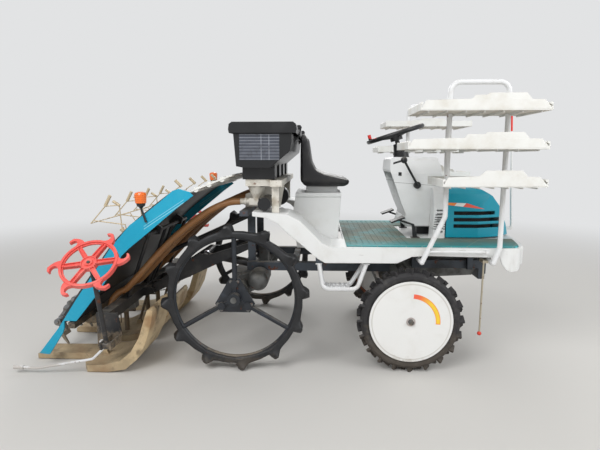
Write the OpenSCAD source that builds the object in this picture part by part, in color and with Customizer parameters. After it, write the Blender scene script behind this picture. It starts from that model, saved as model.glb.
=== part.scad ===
// Riding rice transplanter, four rows, with its planting unit, seedling racks and fertiliser hopper.
// +X is forward, +Y is the machine's left, +Z is up. Sizes are in millimetres.
// Places are given from the rear axle line and the ground, and at_row() moves them to the part's origin,
// which is the middle of the ground rectangle that the machine covers.

/* [Wheels] */
// Diameter of a rear wheel over its rubber paddles
rear_wheel_d = 850; // [836:2:856]
// Distance between the centres of the rear wheels
rear_track = 1200; // [1190:2:1230]
// Width of a rear wheel's rubber paddles
rear_lug_w = 92; // [70:2:100]
// Number of rubber paddles round a rear wheel
rear_lug_count = 12; // [10:1:14]
// Diameter of a front wheel over its tyre lugs
front_wheel_d = 600; // [590:2:602]
// Distance between the centres of the front wheels
front_track = 1140; // [1130:2:1160]
// Width of a front tyre
front_tyre_w = 80; // [70:2:84]
// Number of lug pairs round a front tyre
front_lug_count = 20; // [16:1:24]
// Distance from the rear axle to the front axle
wheelbase = 990; // [984:2:1000]

/* [Deck] */
// Height of the deck's top over the ground
deck_z = 712; // [708:1:720]
// Overall width of the deck and its fenders
deck_w = 1120; // [1100:2:1130]
// Thickness of the moulded deck
deck_wall = 8; // [6:1:10]
// Thickness of the rubber deck mat
mat_t = 6; // [4:1:8]
// Height of the fender tops over the ground
fender_z = 900; // [890:1:905]

/* [Bonnet and cowl] */
// Wall of the bonnet
bonnet_wall = 6; // [4:1:8]
// Height of the bonnet's top over the ground
bonnet_z = 1032; // [1020:2:1040]
// Diameter of the steering wheel
steering_wheel_d = 384; // [360:4:400]

/* [Seedling racks] */
// Diameter of the rack tubes
rack_tube_d = 27; // [24:1:30]
// Length of a seedling tray
tray_len = 640; // [600:5:650]
// Width of a seedling tray
tray_w = 326; // [300:2:330]
// Height of a tray's walls
tray_h = 42; // [36:1:48]
// Height of the lowest tray's underside over the ground
tray_z = 1064; // [1058:2:1070]
// Step from one tray to the next
tray_step = 188; // [180:2:190]

/* [Hopper] */
// Overall width of the hopper body
hopper_w = 1160; // [1120:4:1180]
// Wall of the hopper
hopper_wall = 5; // [4:1:7]
// Height of the hopper's rim over the ground
hopper_z = 1342; // [1336:1:1346]
// Height of the lid
lid_h = 60; // [50:1:64]

/* [Planting unit] */
// Distance between planting rows
row_pitch = 300; // [296:2:304]
// Length of the lower links from pin to pin
link_len = 747; // [744:1:750]
// Angle of the lower links below level when the unit rests on its floats
link_fall = 24.5; // [24:0.1:25]
// Height from the lower link pin to the top link pin
link_rise = 190; // [180:2:200]
// Sideways travel of the seedling table to each side
table_stroke = 128; // [120:1:130]
// Thickness of the seedling table's floor
table_floor_t = 12; // [10:1:14]
// Radius from a rotor's shaft to its planting arm pivots
rotor_r = 75; // [70:1:76]
// Reach of a planting claw from its pivot
claw_reach = 150; // [140:2:154]

/* [Row markers] */
// Radius of a marker star over its hooked tips
star_reach = 209; // [200:1:212]
// Radius of a marker star's rim
star_rim_r = 144; // [136:1:148]
// Lean of a folded marker star's axis above level
star_lean = 50; // [48:1:52]

/* [Hidden] */
$fn = 48;

white = [0.93, 0.93, 0.92];
teal = [0.09, 0.58, 0.68];
dark = [0.13, 0.13, 0.14];
steel = [0.46, 0.49, 0.53];
cast = [0.42, 0.42, 0.41];
rubber = [0.09, 0.09, 0.10];
red = [0.88, 0.26, 0.22];
tan_colour = [0.80, 0.68, 0.50];
amber = [0.95, 0.42, 0.05];

// Ends of the machine ahead of and behind the rear axle, which set the origin
pole_foot = [1757, 744];
pole_r = 9;
front_reach = pole_foot[0] + pole_r;
rear_reach = 1250;
x_mid = (front_reach - rear_reach) / 2;

// Radial clearance of a pin or shaft in its bore, gap between faces that slide, and gap between
// curved faces of pieces that are pressed together on the real machine
fit = 0.05;
slip = 0.5;
seat_gap = 0.3;

RIGHT = -1;
LEFT = 1;

module at_row() { translate([-x_mid, 0, 0]) children(); }

module both_sides() {
    children();
    mirror([0, 1, 0]) children();
}

// Children drawn in an X and Z plane at the given Y, which their third axis points away from
module in_xz(y) { translate([0, y, 0]) rotate([90, 0, 0]) children(); }

// Plate of the given outline in X and Z, from y0 towards +Y
module side_plate(points, y0, thick) {
    in_xz(y0 + thick) linear_extrude(thick) polygon(points);
}

// Bar along Y at a place in X and Z, from y0 to y1
module cross_bar(xz, y0, y1, r) {
    translate([xz[0], y1, xz[1]]) rotate([90, 0, 0]) cylinder(r = r, h = y1 - y0);
}

module block(low, high) { translate(low) cube(high - low); }

// Straight round bar between two points
module rod(a, b, r) {
    v = b - a;
    translate(a) rotate([0, acos(v[2] / norm(v)), atan2(v[1], v[0])]) cylinder(r = r, h = norm(v));
}

function unit(v) = v / norm(v);
function turn(a, b, c) = let (u = b - a, v = c - b) atan2(u[0] * v[1] - u[1] * v[0], u * v);
function polar(r, a) = [r * cos(a), r * sin(a)];

// Round tube bent in the local X and Y plane through the given points. The bends are a hair thicker
// than the straights, which reach into them.
module bent_tube(points, r, bend) {
    last = len(points) - 1;
    lap = 1;
    swell = 0.2;
    cut = [for (i = [0:last]) i == 0 || i == last ? 0
        : bend * tan(abs(turn(points[i - 1], points[i], points[i + 1])) / 2) - lap];
    for (i = [0:last - 1]) {
        u = unit(points[i + 1] - points[i]);
        a = points[i] + u * cut[i];
        b = points[i + 1] - u * cut[i + 1];
        translate([a[0], a[1], 0]) rotate([0, 90, atan2(u[1], u[0])]) cylinder(r = r, h = norm(b - a));
    }
    for (i = [1:last - 1]) {
        t = turn(points[i - 1], points[i], points[i + 1]);
        u = unit(points[i] - points[i - 1]);
        start = points[i] - u * (cut[i] + lap);
        centre = start + sign(t) * bend * [-u[1], u[0]];
        a0 = atan2(start[1] - centre[1], start[0] - centre[0]);
        translate([centre[0], centre[1], 0]) rotate([0, 0, t > 0 ? a0 : a0 + t])
            rotate_extrude(angle = abs(t)) translate([bend, 0]) circle(r + swell);
    }
}

// Wheels

rear_r = rear_wheel_d / 2;
rear_band_r = rear_r - 42;
rear_rim_r = rear_band_r - 20;
rear_band_w = 46;
rear_shaft_r = 17.5;
rear_hub_r = 36;
rear_flange_y = rear_track / 2 - 108;
rear_hub_out = 50;

// Steel frame of a rear wheel: tube rim, three spokes, hub plate and hub
module rear_wheel(side) {
    rim_tube_r = 13;
    spoke_r = 14;
    plate_r = 118;
    plate_t = 12;
    clamp_r = 15;
    translate([0, side * rear_track / 2, rear_r]) rotate([90, 0, 0]) difference() {
        union() {
            rotate_extrude() union() {
                translate([rear_rim_r - rim_tube_r, 0]) circle(rim_tube_r);
                translate([rear_rim_r - 6, -rear_band_w / 2]) square([6, rear_band_w]);
            }
            for (a = [90, 210, 330]) rotate([0, 0, a]) {
                translate([rear_hub_r - 4, 0, 0]) rotate([0, 90, 0])
                    cylinder(r = spoke_r, h = rear_rim_r - rear_hub_r - 8);
                translate([rear_hub_r - 6, -9, -18]) cube([170, 18, 36]);
                translate([86, 0, 0]) cylinder(r = clamp_r + 6, h = 52, center = true);
            }
            translate([0, 0, -plate_t / 2]) linear_extrude(plate_t)
                polygon([for (a = [90, 210, 330], d = [-14, 14]) polar(plate_r, a + d)]);
            translate([0, 0, -rear_hub_out]) cylinder(r = rear_hub_r, h = 2 * rear_hub_out);
        }
        translate([0, 0, -rear_hub_out - 1]) cylinder(r = rear_shaft_r + fit, h = 2 * rear_hub_out + 2);
    }
}

// Rubber band of a rear wheel with its chevron paddles
module rear_tyre(side) {
    lug_root = 26;
    lug_tip = 15;
    sweep = 34;
    half = rear_lug_w / 2;
    chevron = [[-lug_root - sweep / 2, -half], [-sweep / 2, -half], [sweep / 2, 0], [-sweep / 2, half],
        [-lug_root - sweep / 2, half], [-lug_root + sweep / 2, 0]];
    translate([0, side * rear_track / 2, rear_r]) rotate([90, 0, 0]) intersection() {
        union() {
            rotate_extrude() translate([rear_rim_r + seat_gap, -rear_band_w / 2])
                square([rear_band_r - rear_rim_r - seat_gap, rear_band_w]);
            for (i = [0:rear_lug_count - 1]) rotate([0, 0, 270 + i * 360 / rear_lug_count])
                translate([rear_band_r - 14, (lug_root - lug_tip) / 2 + lug_tip / 2, 0]) rotate([0, 90, 0])
                    rotate([0, 0, 90]) linear_extrude(rear_r - rear_band_r + 20) polygon(chevron);
        }
        cylinder(r = rear_r, h = rear_lug_w + 10, center = true);
    }
}

front_r = front_wheel_d / 2;
front_disc_r = 234;
front_rim_r = 226;
front_carcass_r = front_r - 22;
front_axle_r = 15;
kingpin_inset = 120;
kingpin_y = front_track / 2 - kingpin_inset;
front_hub_r = 30;
front_hub_in = 56;

// Rim, dished disc and hub of a front wheel. The local third axis points outwards.
module front_wheel(side) {
    rim_half = front_tyre_w / 2 - 6;
    disc_t = 4;
    disc_z = front_tyre_w / 2 + 1;
    dish = 8;
    translate([wheelbase, side * front_track / 2, front_r]) rotate([-90 * side, 0, 0]) difference() {
        union() {
            rotate_extrude() polygon([[front_rim_r - 10, -rim_half], [front_rim_r - seat_gap, -rim_half],
                [front_rim_r - seat_gap, disc_z + 2], [front_rim_r - 10, disc_z + 2]]);
            rotate_extrude() polygon([[front_axle_r + 4, disc_z - dish], [front_disc_r - 26, disc_z - 1],
                [front_disc_r - 4, disc_z], [front_disc_r, disc_z + 1], [front_disc_r - 2, disc_z + disc_t],
                [front_disc_r - 26, disc_z + disc_t - 1], [front_axle_r + 4, disc_z + disc_t - dish]]);
            translate([0, 0, -front_hub_in + 2]) cylinder(r = front_hub_r, h = front_hub_in + disc_z - dish);
        }
        translate([0, 0, -front_hub_in - 1]) cylinder(r = front_axle_r + fit, h = 2 * front_hub_in + 40);
    }
}

// Farm tyre of a front wheel with its pairs of slanted lugs
module front_tyre(side) {
    w = front_tyre_w / 2;
    lug_t = 13;
    lug_len = w * 1.12;
    slant = 38;
    translate([wheelbase, side * front_track / 2, front_r]) rotate([-90 * side, 0, 0]) intersection() {
        union() {
            rotate_extrude() polygon([[front_rim_r, -w + 9], [front_rim_r + 22, -w], [front_carcass_r - 16, -w],
                [front_carcass_r, -w + 14], [front_carcass_r, w - 14], [front_carcass_r - 16, w],
                [front_rim_r + 22, w], [front_rim_r, w - 9]]);
            for (i = [0:front_lug_count - 1], s = [-1, 1])
                rotate([0, 0, 270 + (i + s / 4) * 360 / front_lug_count])
                    translate([front_carcass_r - 14, 0, 0]) rotate([s * slant, 0, 0])
                        translate([0, -lug_t / 2, s > 0 ? -4 : 4 - lug_len])
                            cube([front_r - front_carcass_r + 14, lug_t, lug_len]);
        }
        cylinder(r = front_r, h = front_tyre_w, center = true);
    }
}

// Front axle, steering and rear axle

axle_z = 528;
kingpin_r = 22;
sleeve_low = 500;
sleeve_high = 556;
steer_arm = 110;
arm_z = 372;
arm_t = 12;
pin_r = 8;

module front_case() color(cast) at_row() {
    front_case_body();
}
module front_case_body() {
    tube_r = 27;
    front = frame_end - 40;
    difference() {
        union() {
            side_plate([[wheelbase - 60, 440], [wheelbase + 50, 418], [wheelbase + 130, 432],
                [front - 30, 452], [front, 500], [front, 560], [front - 60, 600], [wheelbase - 30, 600],
                [rear_rail_end, 570], [rear_rail_end, 500]], -front_rail_y, 2 * front_rail_y);
            translate([wheelbase, 0, axle_z]) rotate([90, 0, 0])
                cylinder(r = 46, h = 2 * front_rail_y + 36, center = true);
            translate([wheelbase, 0, axle_z]) rotate([90, 0, 0])
                cylinder(r = tube_r, h = 2 * kingpin_y - 60, center = true);
            both_sides() translate([wheelbase, kingpin_y, sleeve_low]) cylinder(r = 42, h = sleeve_high - sleeve_low);
            translate([wheelbase, 0, arm_z - 2]) cylinder(r = 14, h = 60);
        }
        both_sides() translate([wheelbase, kingpin_y, sleeve_low - 1])
            cylinder(r = kingpin_r + fit, h = sleeve_high - sleeve_low + 2);
    }
}

// Steered final drive: kingpin, upright housing, wheel shaft and steering arm
module knuckle(side) {
    shaft_end = kingpin_inset + front_tyre_w / 2 + 12;
    color(cast) at_row() translate([wheelbase, side * kingpin_y, 0]) difference() {
        union() {
            translate([0, 0, front_r]) cylinder(r = 36, h = sleeve_low - slip - front_r);
            translate([0, 0, sleeve_low - 30]) cylinder(r = kingpin_r, h = sleeve_high - sleeve_low + 40);
            translate([0, 0, sleeve_high + slip]) cylinder(r = 34, h = 10);
            translate([0, 0, front_r]) sphere(46);
            translate([0, 0, front_r]) rotate([-90 * side, 0, 0]) cylinder(r = 42, h = kingpin_inset - front_hub_in - 4);
            translate([0, 0, front_r]) rotate([-90 * side, 0, 0]) cylinder(r = front_axle_r, h = shaft_end);
            translate([-steer_arm, -16, arm_z]) cube([steer_arm, 32, arm_t]);
            translate([-steer_arm, 0, arm_z]) cylinder(r = 20, h = arm_t);
        }
        translate([-steer_arm, 0, arm_z - 1]) cylinder(r = pin_r + fit, h = arm_t + 2);
    }
}

module pitman_arm() color(steel) at_row() translate([wheelbase, 0, arm_z]) difference() {
    union() {
        cylinder(r = 26, h = arm_t);
        translate([-steer_arm, 0, 0]) cylinder(r = 20, h = arm_t);
        translate([-steer_arm, -14, 0]) cube([steer_arm, 28, arm_t]);
    }
    translate([0, 0, -1]) cylinder(r = 14 + fit, h = arm_t + 2);
    translate([-steer_arm, 0, -1]) cylinder(r = pin_r + fit, h = arm_t + 2);
}

module track_rod() color(steel) at_row() translate([wheelbase - steer_arm, 0, arm_z - 14]) {
    cross_bar([0, 0], -kingpin_y, kingpin_y, 9);
    for (y = [-kingpin_y, 0, kingpin_y]) translate([0, y, 0]) {
        translate([0, 0, -12]) cylinder(r = 15, h = 14 + 12 - slip);
        cylinder(r = pin_r, h = 14 + arm_t + 4);
    }
}

rear_axle_z = rear_r;
final_drive = [104, 472];
module rear_case() color(cast) at_row() {
    tube_r = 46;
    side_plate([[-96, 360], [-60, 336], [90, 336], [128, 372], [128, 458], [-96, 458]], -130, 260);
    block([70, -64, 440], [128, 64, 700]);
    translate([hinge_a[0] + 24 + seat_gap, 0, hinge_a[1]]) rotate([0, 90, 0]) cylinder(r = 14, h = 20);
    for (y = [cyl_y - 32, cyl_y + 20]) side_plate([[34, 455], [96, 455], [84, cyl_pin[1] + 8],
        [cyl_pin[0] + 6, cyl_pin[1] + 22], [cyl_pin[0] - 12, cyl_pin[1] + 18], [cyl_pin[0] - 17, cyl_pin[1]]], y, 12);
    cross_bar(cyl_pin, cyl_y - 24, cyl_y + 24, link_pin_r);
    both_sides() {
        block([74, 120, 430], [120, rail_y + rail_w, rail_z]);
        cross_bar([0, rear_axle_z], 120, rear_flange_y - 14, tube_r);
        cross_bar([0, rear_axle_z], rear_flange_y - 14, rear_flange_y, 62);
        cross_bar([0, rear_axle_z], rear_flange_y - 1, rear_track / 2 + rear_hub_out + 4, rear_shaft_r);
        cross_bar([0, rear_axle_z], rear_flange_y, rear_track / 2 - rear_hub_out - slip, 28);
        // Final drive case with its domed end
        cross_bar(final_drive, 120, 300, 26);
        cross_bar(final_drive, 296, 400, 62);
        cross_bar([0, rear_axle_z], 296, 356, 60);
        side_plate([[0, rear_axle_z - 60], [104, 412], [120, 530], [0, rear_axle_z + 60]], 296, 60);
        intersection() {
            translate([final_drive[0], 380, final_drive[1]]) sphere(65);
            cross_bar(final_drive, 380, 460, 62);
        }
    }
}

// Frame

rail_y = 225;
rail_w = 46;
rail_z = 505;
rail_h = 52;
front_rail_y = 124;
front_rail_x = wheelbase + 84;
rear_rail_end = wheelbase - 74;
frame_end = 1540;
post_x = 44;
hinge_a = [40, 650];
hinge_top = hinge_a + [0, link_rise];
link_y = 160;
link_pin_r = 12;
top_pin_r = 14;
cyl_pin = [60, 500];
cyl_y = -84;
post_y = 205;
outrigger_z = 618;
outrigger_h = 30;
outrigger_top = outrigger_z + outrigger_h;
outrigger_half = deck_w / 2 - 11;
hitch = [frame_end + 28, 478];
hitch_r = 10.5;

module main_frame() color(steel) at_row() {
    w = 40;
    both_sides() {
        block([60, rail_y, rail_z], [rear_rail_end, rail_y + rail_w, rail_z + rail_h]);
        block([front_rail_x, front_rail_y, rail_z], [frame_end, front_rail_y + w, rail_z + rail_h]);
        block([post_x - 24, post_y, 500], [post_x + 24, post_y + 20, 909.5]);
        block([post_x - 24, post_y, rail_z], [70, rail_y + rail_w, rail_z + rail_h]);
        cross_bar(hinge_a, link_y - 24, post_y + 1, link_pin_r);
        // Gussets up to the members below the deck
        block([min(front_rail_x, rack_feet[0] - 15), front_rail_y, 605],
            [max(front_rail_x, rack_feet[0]) + 30, front_rail_y + w, outrigger_top]);
        block([front_rail_x, front_rail_y, rail_z], [front_rail_x + 30, front_rail_y + w, 610]);
        block([rack_feet[1] - 15, front_rail_y + 37, rail_z], [rack_feet[1] + 15, 200, outrigger_top]);
        block([rack_feet[1] - 15, 190, 622], [rack_feet[1] + 15, rack_foot, outrigger_top]);
        // Hitch lugs, with the hole for a drop pin
        difference() {
            block([frame_end - 2, 30, 440], [frame_end + 50, 44, 540]);
            cross_bar(hitch, 20, 60, hitch_r);
        }
    }
    cross_bar(hinge_top, -post_y - 1, post_y + 1, top_pin_r);
    block([post_x - 24, -520, 880], [post_x + 24, 520, 909.5]);
    for (x = [300, 640]) block([x, -rail_y - 1, rail_z + 6], [x + 40, rail_y + 1, rail_z + rail_h - 6]);
    for (x = [455, 725]) {
        block([x, -outrigger_half, outrigger_z], [x + 35, outrigger_half, outrigger_top]);
        both_sides() block([x, rail_y + 4, rail_z + rail_h - 1], [x + 35, rail_y + 40, outrigger_z + 1]);
    }
    block([rack_feet[0] - 15, -rack_foot, 622], [rack_feet[0] + 15, rack_foot, outrigger_top]);
    block([rear_rail_end - 31, -rail_y - rail_w, rail_z], [rear_rail_end, rail_y + rail_w, rail_z + rail_h]);
    block([frame_end - 40, -front_rail_y - w, rail_z - 70], [frame_end, front_rail_y + w, rail_z + rail_h]);
}

// Deck and body

fender_x = 98;
engine_low = [1280, -158, 600];
engine_high = [1560, 158, 880];
deck_side = [[fender_x, fender_z + 10], [fender_x, fender_z - 14], [171, 877], [243, 843], [294, 793],
    [468, 645], [508, 622], [911, 624], [993, 662], [1092, 668], [1476, 661], [1490, 625], [1513, 594],
    [1535, 580], [1579, 584], [1640, 620], [1720, 650], [1720, deck_z], [541, deck_z], [490, 737],
    [366, 861], [294, fender_z - 3]];
deck_front = 1700;
deck_bow_r = 1730;
seat_well = [620, 270];

// Outward normals of a closed outline drawn the left way round point away, so this moves it inwards
function inset(p, d) = [for (i = [0:len(p) - 1])
    let (n = len(p), u = unit(p[i] - p[(i + n - 1) % n]), v = unit(p[(i + 1) % n] - p[i]),
        a = [-u[1], u[0]], b = [-v[1], v[0]]) p[i] + d * (a + b) / (1 + a * b)];

// Strip of the given thickness below an open line that runs towards +X
function strip(p, t) = let (n = len(p) - 1, low = [for (i = [0:n])
    let (u = unit(p[min(i + 1, n)] - p[min(i, n - 1)]), v = unit(p[max(i, 1)] - p[max(i - 1, 0)]),
        a = [u[1], -u[0]], b = [v[1], -v[0]]) p[i] + t * (a + b) / (1 + a * b)])
    concat(p, [for (i = [n:-1:0]) low[i]]);

// Plate of the given outline in Y and Z, from x0 towards +X
module end_plate(points, x0, thick) {
    translate([x0, 0, 0]) rotate([90, 0, 90]) linear_extrude(thick) polygon(points);
}

// Plan of the deck: straight sides, round front corners and a bowed front
module deck_plan(inward) {
    half = deck_w / 2 - inward;
    r = 70;
    intersection() {
        union() {
            translate([fender_x + inward, -half]) square([1540 - fender_x - inward, 2 * half]);
            translate([1400, -half + r]) square([300, 2 * half - 2 * r]);
            for (y = [-half + r, half - r]) translate([1540, y]) circle(r);
        }
        translate([deck_front - deck_bow_r, 0]) circle(deck_bow_r - inward, $fn = 240);
    }
}

module deck_shell() color(white) at_row() difference() {
    intersection() {
        side_plate(deck_side, -deck_w / 2, deck_w);
        translate([0, 0, 500]) linear_extrude(500) deck_plan(0);
    }
    intersection() {
        union() for (drop = [-deck_wall, -2 * deck_wall - 60]) translate([0, 0, drop])
            side_plate(deck_side, -deck_w / 2 + deck_wall, deck_w - 2 * deck_wall);
        translate([0, 0, 500]) linear_extrude(500) deck_plan(deck_wall);
    }
    block([0, -seat_well[1], 500], [seat_well[0], seat_well[1], 1000]);
    block([engine_low[0] - 14, -176, 560], [engine_high[0] + 20, 176, 800]);
    block(gear_box[0] - [6, 6, 6], gear_box[1] + [6, 6, 0]);
}

// Rubber mat with raised ribs on the flat of the deck
module deck_mat() color([0.10, 0.45, 0.45]) at_row() difference() {
    intersection() {
        translate([0, 0, deck_z]) linear_extrude(mat_t) deck_plan(26);
        union() {
            block([seat_well[0] + 10, -700, deck_z - 1], [1016, 700, deck_z + mat_t]);
            both_sides() block([1015, 268, deck_z - 1], [1800, 700, deck_z + mat_t]);
        }
    }
    for (i = [0:9]) block([seat_well[0] + 30 + 36 * i, -480, deck_z + mat_t - 2],
        [seat_well[0] + 38 + 36 * i, 480, deck_z + mat_t + 1]);
}

// Hangers and serrated treads of the steps below the deck
module side_steps() color(white) at_row() both_sides() {
    r = 12.5;
    top = outrigger_z - 6;
    edge = deck_w / 2;
    for (row = [[edge - 25, 692, 742], [edge - 98, 652, 742]])
        translate([0, row[0], 0]) rotate([90, 0, 0])
            bent_tube([[474, top], [498, 465], [row[1], 465], [row[2], top]], r, 40);
    difference() {
        block([516, edge - 111, 466], [650, edge - 12, 478]);
        for (i = [0:4]) block([528 + 25 * i, edge - 94, 460], [540 + 25 * i, edge - 38, 490]);
    }
    for (i = [0:5]) side_plate([[516 + 25 * i, 477], [524 + 25 * i, 477], [520 + 25 * i, 486]], edge - 108, 92);
    for (x = [455, 725]) block([x, edge - 115, top - 1], [x + 35, edge - 12, outrigger_z]);
}

base_side = [[335, outrigger_top], [598, outrigger_top], [592, 712], [600, 850], [609, 994], [327, 994],
    [310, 870]];
base_half = 250;
module seat_base() color(white) at_row() {
    wall = 6;
    difference() {
        side_plate(base_side, -base_half, 2 * base_half);
        side_plate(inset(base_side, wall), -base_half + wall, 2 * (base_half - wall));
        translate([0, 0, -2 * wall]) side_plate(inset(base_side, wall), -base_half + wall, 2 * (base_half - wall));
        difference() {
            block([300, -base_half - 1, 966], [620, base_half + 1, 970]);
            side_plate(inset(base_side, 3), -base_half + 3, 2 * (base_half - 3));
        }
    }
    both_sides() block([388, 96, 993], [590, 132, seat_low - seat_gap]);
}

seat_low = 1028;
seat_half = 220;
module seat() color(dark) at_row() intersection() {
    side_plate([[366, seat_low], [640, seat_low], [668, 1046], [677, 1066], [664, 1082], [571, 1097],
        [500, 1112], [450, 1136], [424, 1190], [414, 1260], [404, 1330], [388, 1366], [366, 1372],
        [354, 1356], [352, 1200], [354, 1060]], -seat_half, 2 * seat_half);
    end_plate([[-150, seat_low], [150, seat_low], [seat_half - 6, 1050], [seat_half, 1080],
        [seat_half, 1150], [190, 1330], [150, 1368], [90, 1380], [-90, 1380], [-150, 1368], [-190, 1330],
        [-seat_half, 1150], [-seat_half, 1080], [-seat_half + 6, 1050]], 300, 400);
    translate([0, 0, 1000]) linear_extrude(400) union() {
        translate([352, -seat_half]) square([240, 2 * seat_half]);
        translate([400, -seat_half + 84]) square([290, 2 * seat_half - 168]);
        for (y = [-seat_half + 84, seat_half - 84]) translate([593, y]) circle(84);
    }
}

// Steering

wheel_centre = [968, 0, 1364];
column_lean = 17.4;
column_r = 15;
boot_r = 48;
gear_box = [[1118, -60, 600], [1200, 60, 800]];
cowl_low = deck_z + seat_gap;
cowl_front = 1248;
cowl_side = [[1112, cowl_low], [cowl_front, cowl_low], [cowl_front, 1020], [1238, 1130], [1216, 1206],
    [1190, 1214], [940, 1214], [920, 1200], [916, 1134], [963, 1008], [996, 918], [1024, 856], [1012, 800],
    [1030, 762], [1066, 740]];
cowl_end = [[-140, cowl_low], [140, cowl_low], [158, 780], [166, 860], [176, 1010], [178, 1110], [160, 1190],
    [132, 1214], [-132, 1214], [-160, 1190], [-178, 1110], [-176, 1010], [-166, 860], [-158, 780]];
bonnet_rear = cowl_front + 6;
bonnet_half = 262;
bonnet_end = [[-bonnet_half, 500], [bonnet_half, 500], [bonnet_half, 860], [252, 930], [232, 990],
    [204, bonnet_z - 14], [160, bonnet_z], [-160, bonnet_z], [-204, bonnet_z - 14], [-232, 990],
    [-252, 930], [-bonnet_half, 860]];

module at_column() { translate(wheel_centre) rotate([0, -column_lean, 0]) children(); }

module dash_cowl() color(white) at_row() difference() {
    wall = 5;
    union() {
        intersection() {
            side_plate(cowl_side, -200, 400);
            end_plate(cowl_end, 800, 500);
        }
        intersection() {
            block([1176, -400, cowl_low], [cowl_front, 400, 1100]);
            end_plate(bonnet_end, 1100, 300);
        }
    }
    for (drop = [0, -40]) translate([0, 0, drop]) {
        intersection() {
            side_plate(inset(cowl_side, wall), -200, 400);
            end_plate(inset(cowl_end, wall), 800, 500);
        }
        intersection() {
            block([1176 + wall, -400, cowl_low + wall], [cowl_front - wall, 400, 1100]);
            end_plate(inset(bonnet_end, wall), 1100, 300);
        }
    }
    at_column() translate([0, 0, -700]) cylinder(r = boot_r + slip, h = 600);
    both_sides() for (i = [0:6]) block([1196, 200, 752 + 22 * i], [1236, 300, 762 + 22 * i]);
}

// Ears on the cowl and lugs on the bonnet, with the hinge pins between them
module bonnet_ears() both_sides() {
    side_plate([[1222, 1010], [1246, 1010], [1248, 1034], [bonnet_hinge[0] + 8, 1036],
        [bonnet_hinge[0] + 8, bonnet_hinge[1] + 4], [bonnet_hinge[0], bonnet_hinge[1] + 8],
        [bonnet_hinge[0] - 8, bonnet_hinge[1] + 4], [1222, 1026]], bonnet_ear_y, 6);
    cross_bar(bonnet_hinge, bonnet_ear_y, bonnet_ear_y + 15, bonnet_pin_r);
}
module bonnet_lugs() both_sides() difference() {
    side_plate([[1258, 1006], [1292, 1006], [1286, 1030], [bonnet_hinge[0] + 7, bonnet_hinge[1] + 6],
        [bonnet_hinge[0] - 5, bonnet_hinge[1] + 6], [bonnet_hinge[0] - 7, bonnet_hinge[1] - 4], [1258, 1030]],
        bonnet_ear_y + 7, 6);
    cross_bar(bonnet_hinge, 100, 300, bonnet_pin_r + fit);
}

module steering_column() color(dark) at_row() {
    at_column() difference() {
        union() {
            translate([0, 0, -640]) cylinder(r = column_r + 10, h = 560);
            translate([0, 0, -120]) cylinder(r1 = 42, r2 = 30, h = 56);
            translate([0, 0, -176]) cylinder(r = boot_r, h = 58);
        }
        translate([0, 0, -300]) cylinder(r = column_r + fit, h = 400);
    }
    difference() {
        block(gear_box[0], gear_box[1]);
        block(gear_box[0] + [8, 8, -1], gear_box[1] - [8, 8, 8]);
    }
}

module steering_wheel() color(dark) at_row() at_column() {
    rim_r = 15;
    big = steering_wheel_d / 2 - rim_r;
    rotate_extrude($fn = 64) translate([big, 0]) circle(rim_r, $fn = 24);
    for (a = [60, 180, 300]) rotate([0, 0, a]) translate([28, -13, -26]) rotate([0, -10, 0]) cube([big - 24, 26, 8]);
    translate([0, 0, -44]) cylinder(r = 40, h = 40);
    translate([0, 0, -240]) cylinder(r = column_r, h = 230);
    rotate([0, 0, 196]) translate([big, 0, 0]) cylinder(r = 11, h = 44);
}

// Levers beside the cowl and pedals on the deck
module controls() color(dark) at_row() {
    rod([1085, -196, 1040], [985, -262, 1196], 7);
    translate([985, -262, 1196]) sphere(20);
    translate([1085, -196, 1040]) rotate([-90, 0, 0]) cylinder(r = 22, h = 18);
    rod([1085, 196, 1040], [1010, 250, 1180], 7);
    translate([1010, 250, 1180]) sphere(18);
    translate([1085, 178, 1040]) rotate([-90, 0, 0]) cylinder(r = 22, h = 18);
    for (y = [-232, 200]) {
        side_plate([[1060, deck_z], [1090, deck_z], [1066, 800], [958, 836], [956, 824], [1052, 792]], y, 10);
        translate([962, y + 5, 824]) rotate([0, -20, 0]) block([-44, -42, 0], [44, 42, 10]);
        block([1050, y - 20, deck_z], [1100, y + 30, deck_z + 6]);
    }
}

module engine() color([0.20, 0.21, 0.22]) at_row() block(engine_low, engine_high);

bonnet_side = [[bonnet_rear, deck_z + mat_t + 4], [1686, deck_z + mat_t + 4], [1664, 790], [1630, 850],
    [1592, 914], [1540, 976], [1480, 1014], [1420, bonnet_z], [bonnet_rear, bonnet_z + 2]];
bonnet_hinge = [bonnet_rear + 4, bonnet_z + 12];
bonnet_pin_r = 4;
bonnet_ear_y = 186;

// Plan of the bonnet: straight sides that draw in to a rounded nose
module bonnet_plan(inward) {
    intersection() {
        translate([bonnet_rear - 10, -bonnet_half + inward]) square([700, 2 * (bonnet_half - inward)]);
        translate([bonnet_rear + 100, 0]) scale([1, 1]) circle(430 - inward, $fn = 96);
        polygon([[1200, -bonnet_half], [1450, -bonnet_half + inward], [1600, -205 + inward], [1700, -100 + inward],
            [1700, 100 - inward], [1600, 205 - inward], [1450, bonnet_half - inward], [1200, bonnet_half]]);
    }
}
module bonnet() color(teal) at_row() difference() {
    intersection() {
        side_plate(bonnet_side, -300, 600);
        end_plate(bonnet_end, 1200, 600);
        translate([0, 0, 600]) linear_extrude(600) bonnet_plan(0);
    }
    // Hollow, and open below and at the back
    for (shift = [[0, 0], [0, -60], [-20, -60], [-20, 0]]) translate([shift[0], 0, shift[1]]) intersection() {
        side_plate(inset(bonnet_side, bonnet_wall), -300, 600);
        end_plate(inset(bonnet_end, bonnet_wall), 1200, 600);
        translate([0, 0, 600]) linear_extrude(600) bonnet_plan(bonnet_wall);
    }
    both_sides() for (row = [[782, 1300, 1620], [822, 1300, 1600], [862, 1300, 1560]])
        block([row[1], 150, row[0]], [row[2], 300, row[0] + 22]);
}

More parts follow.
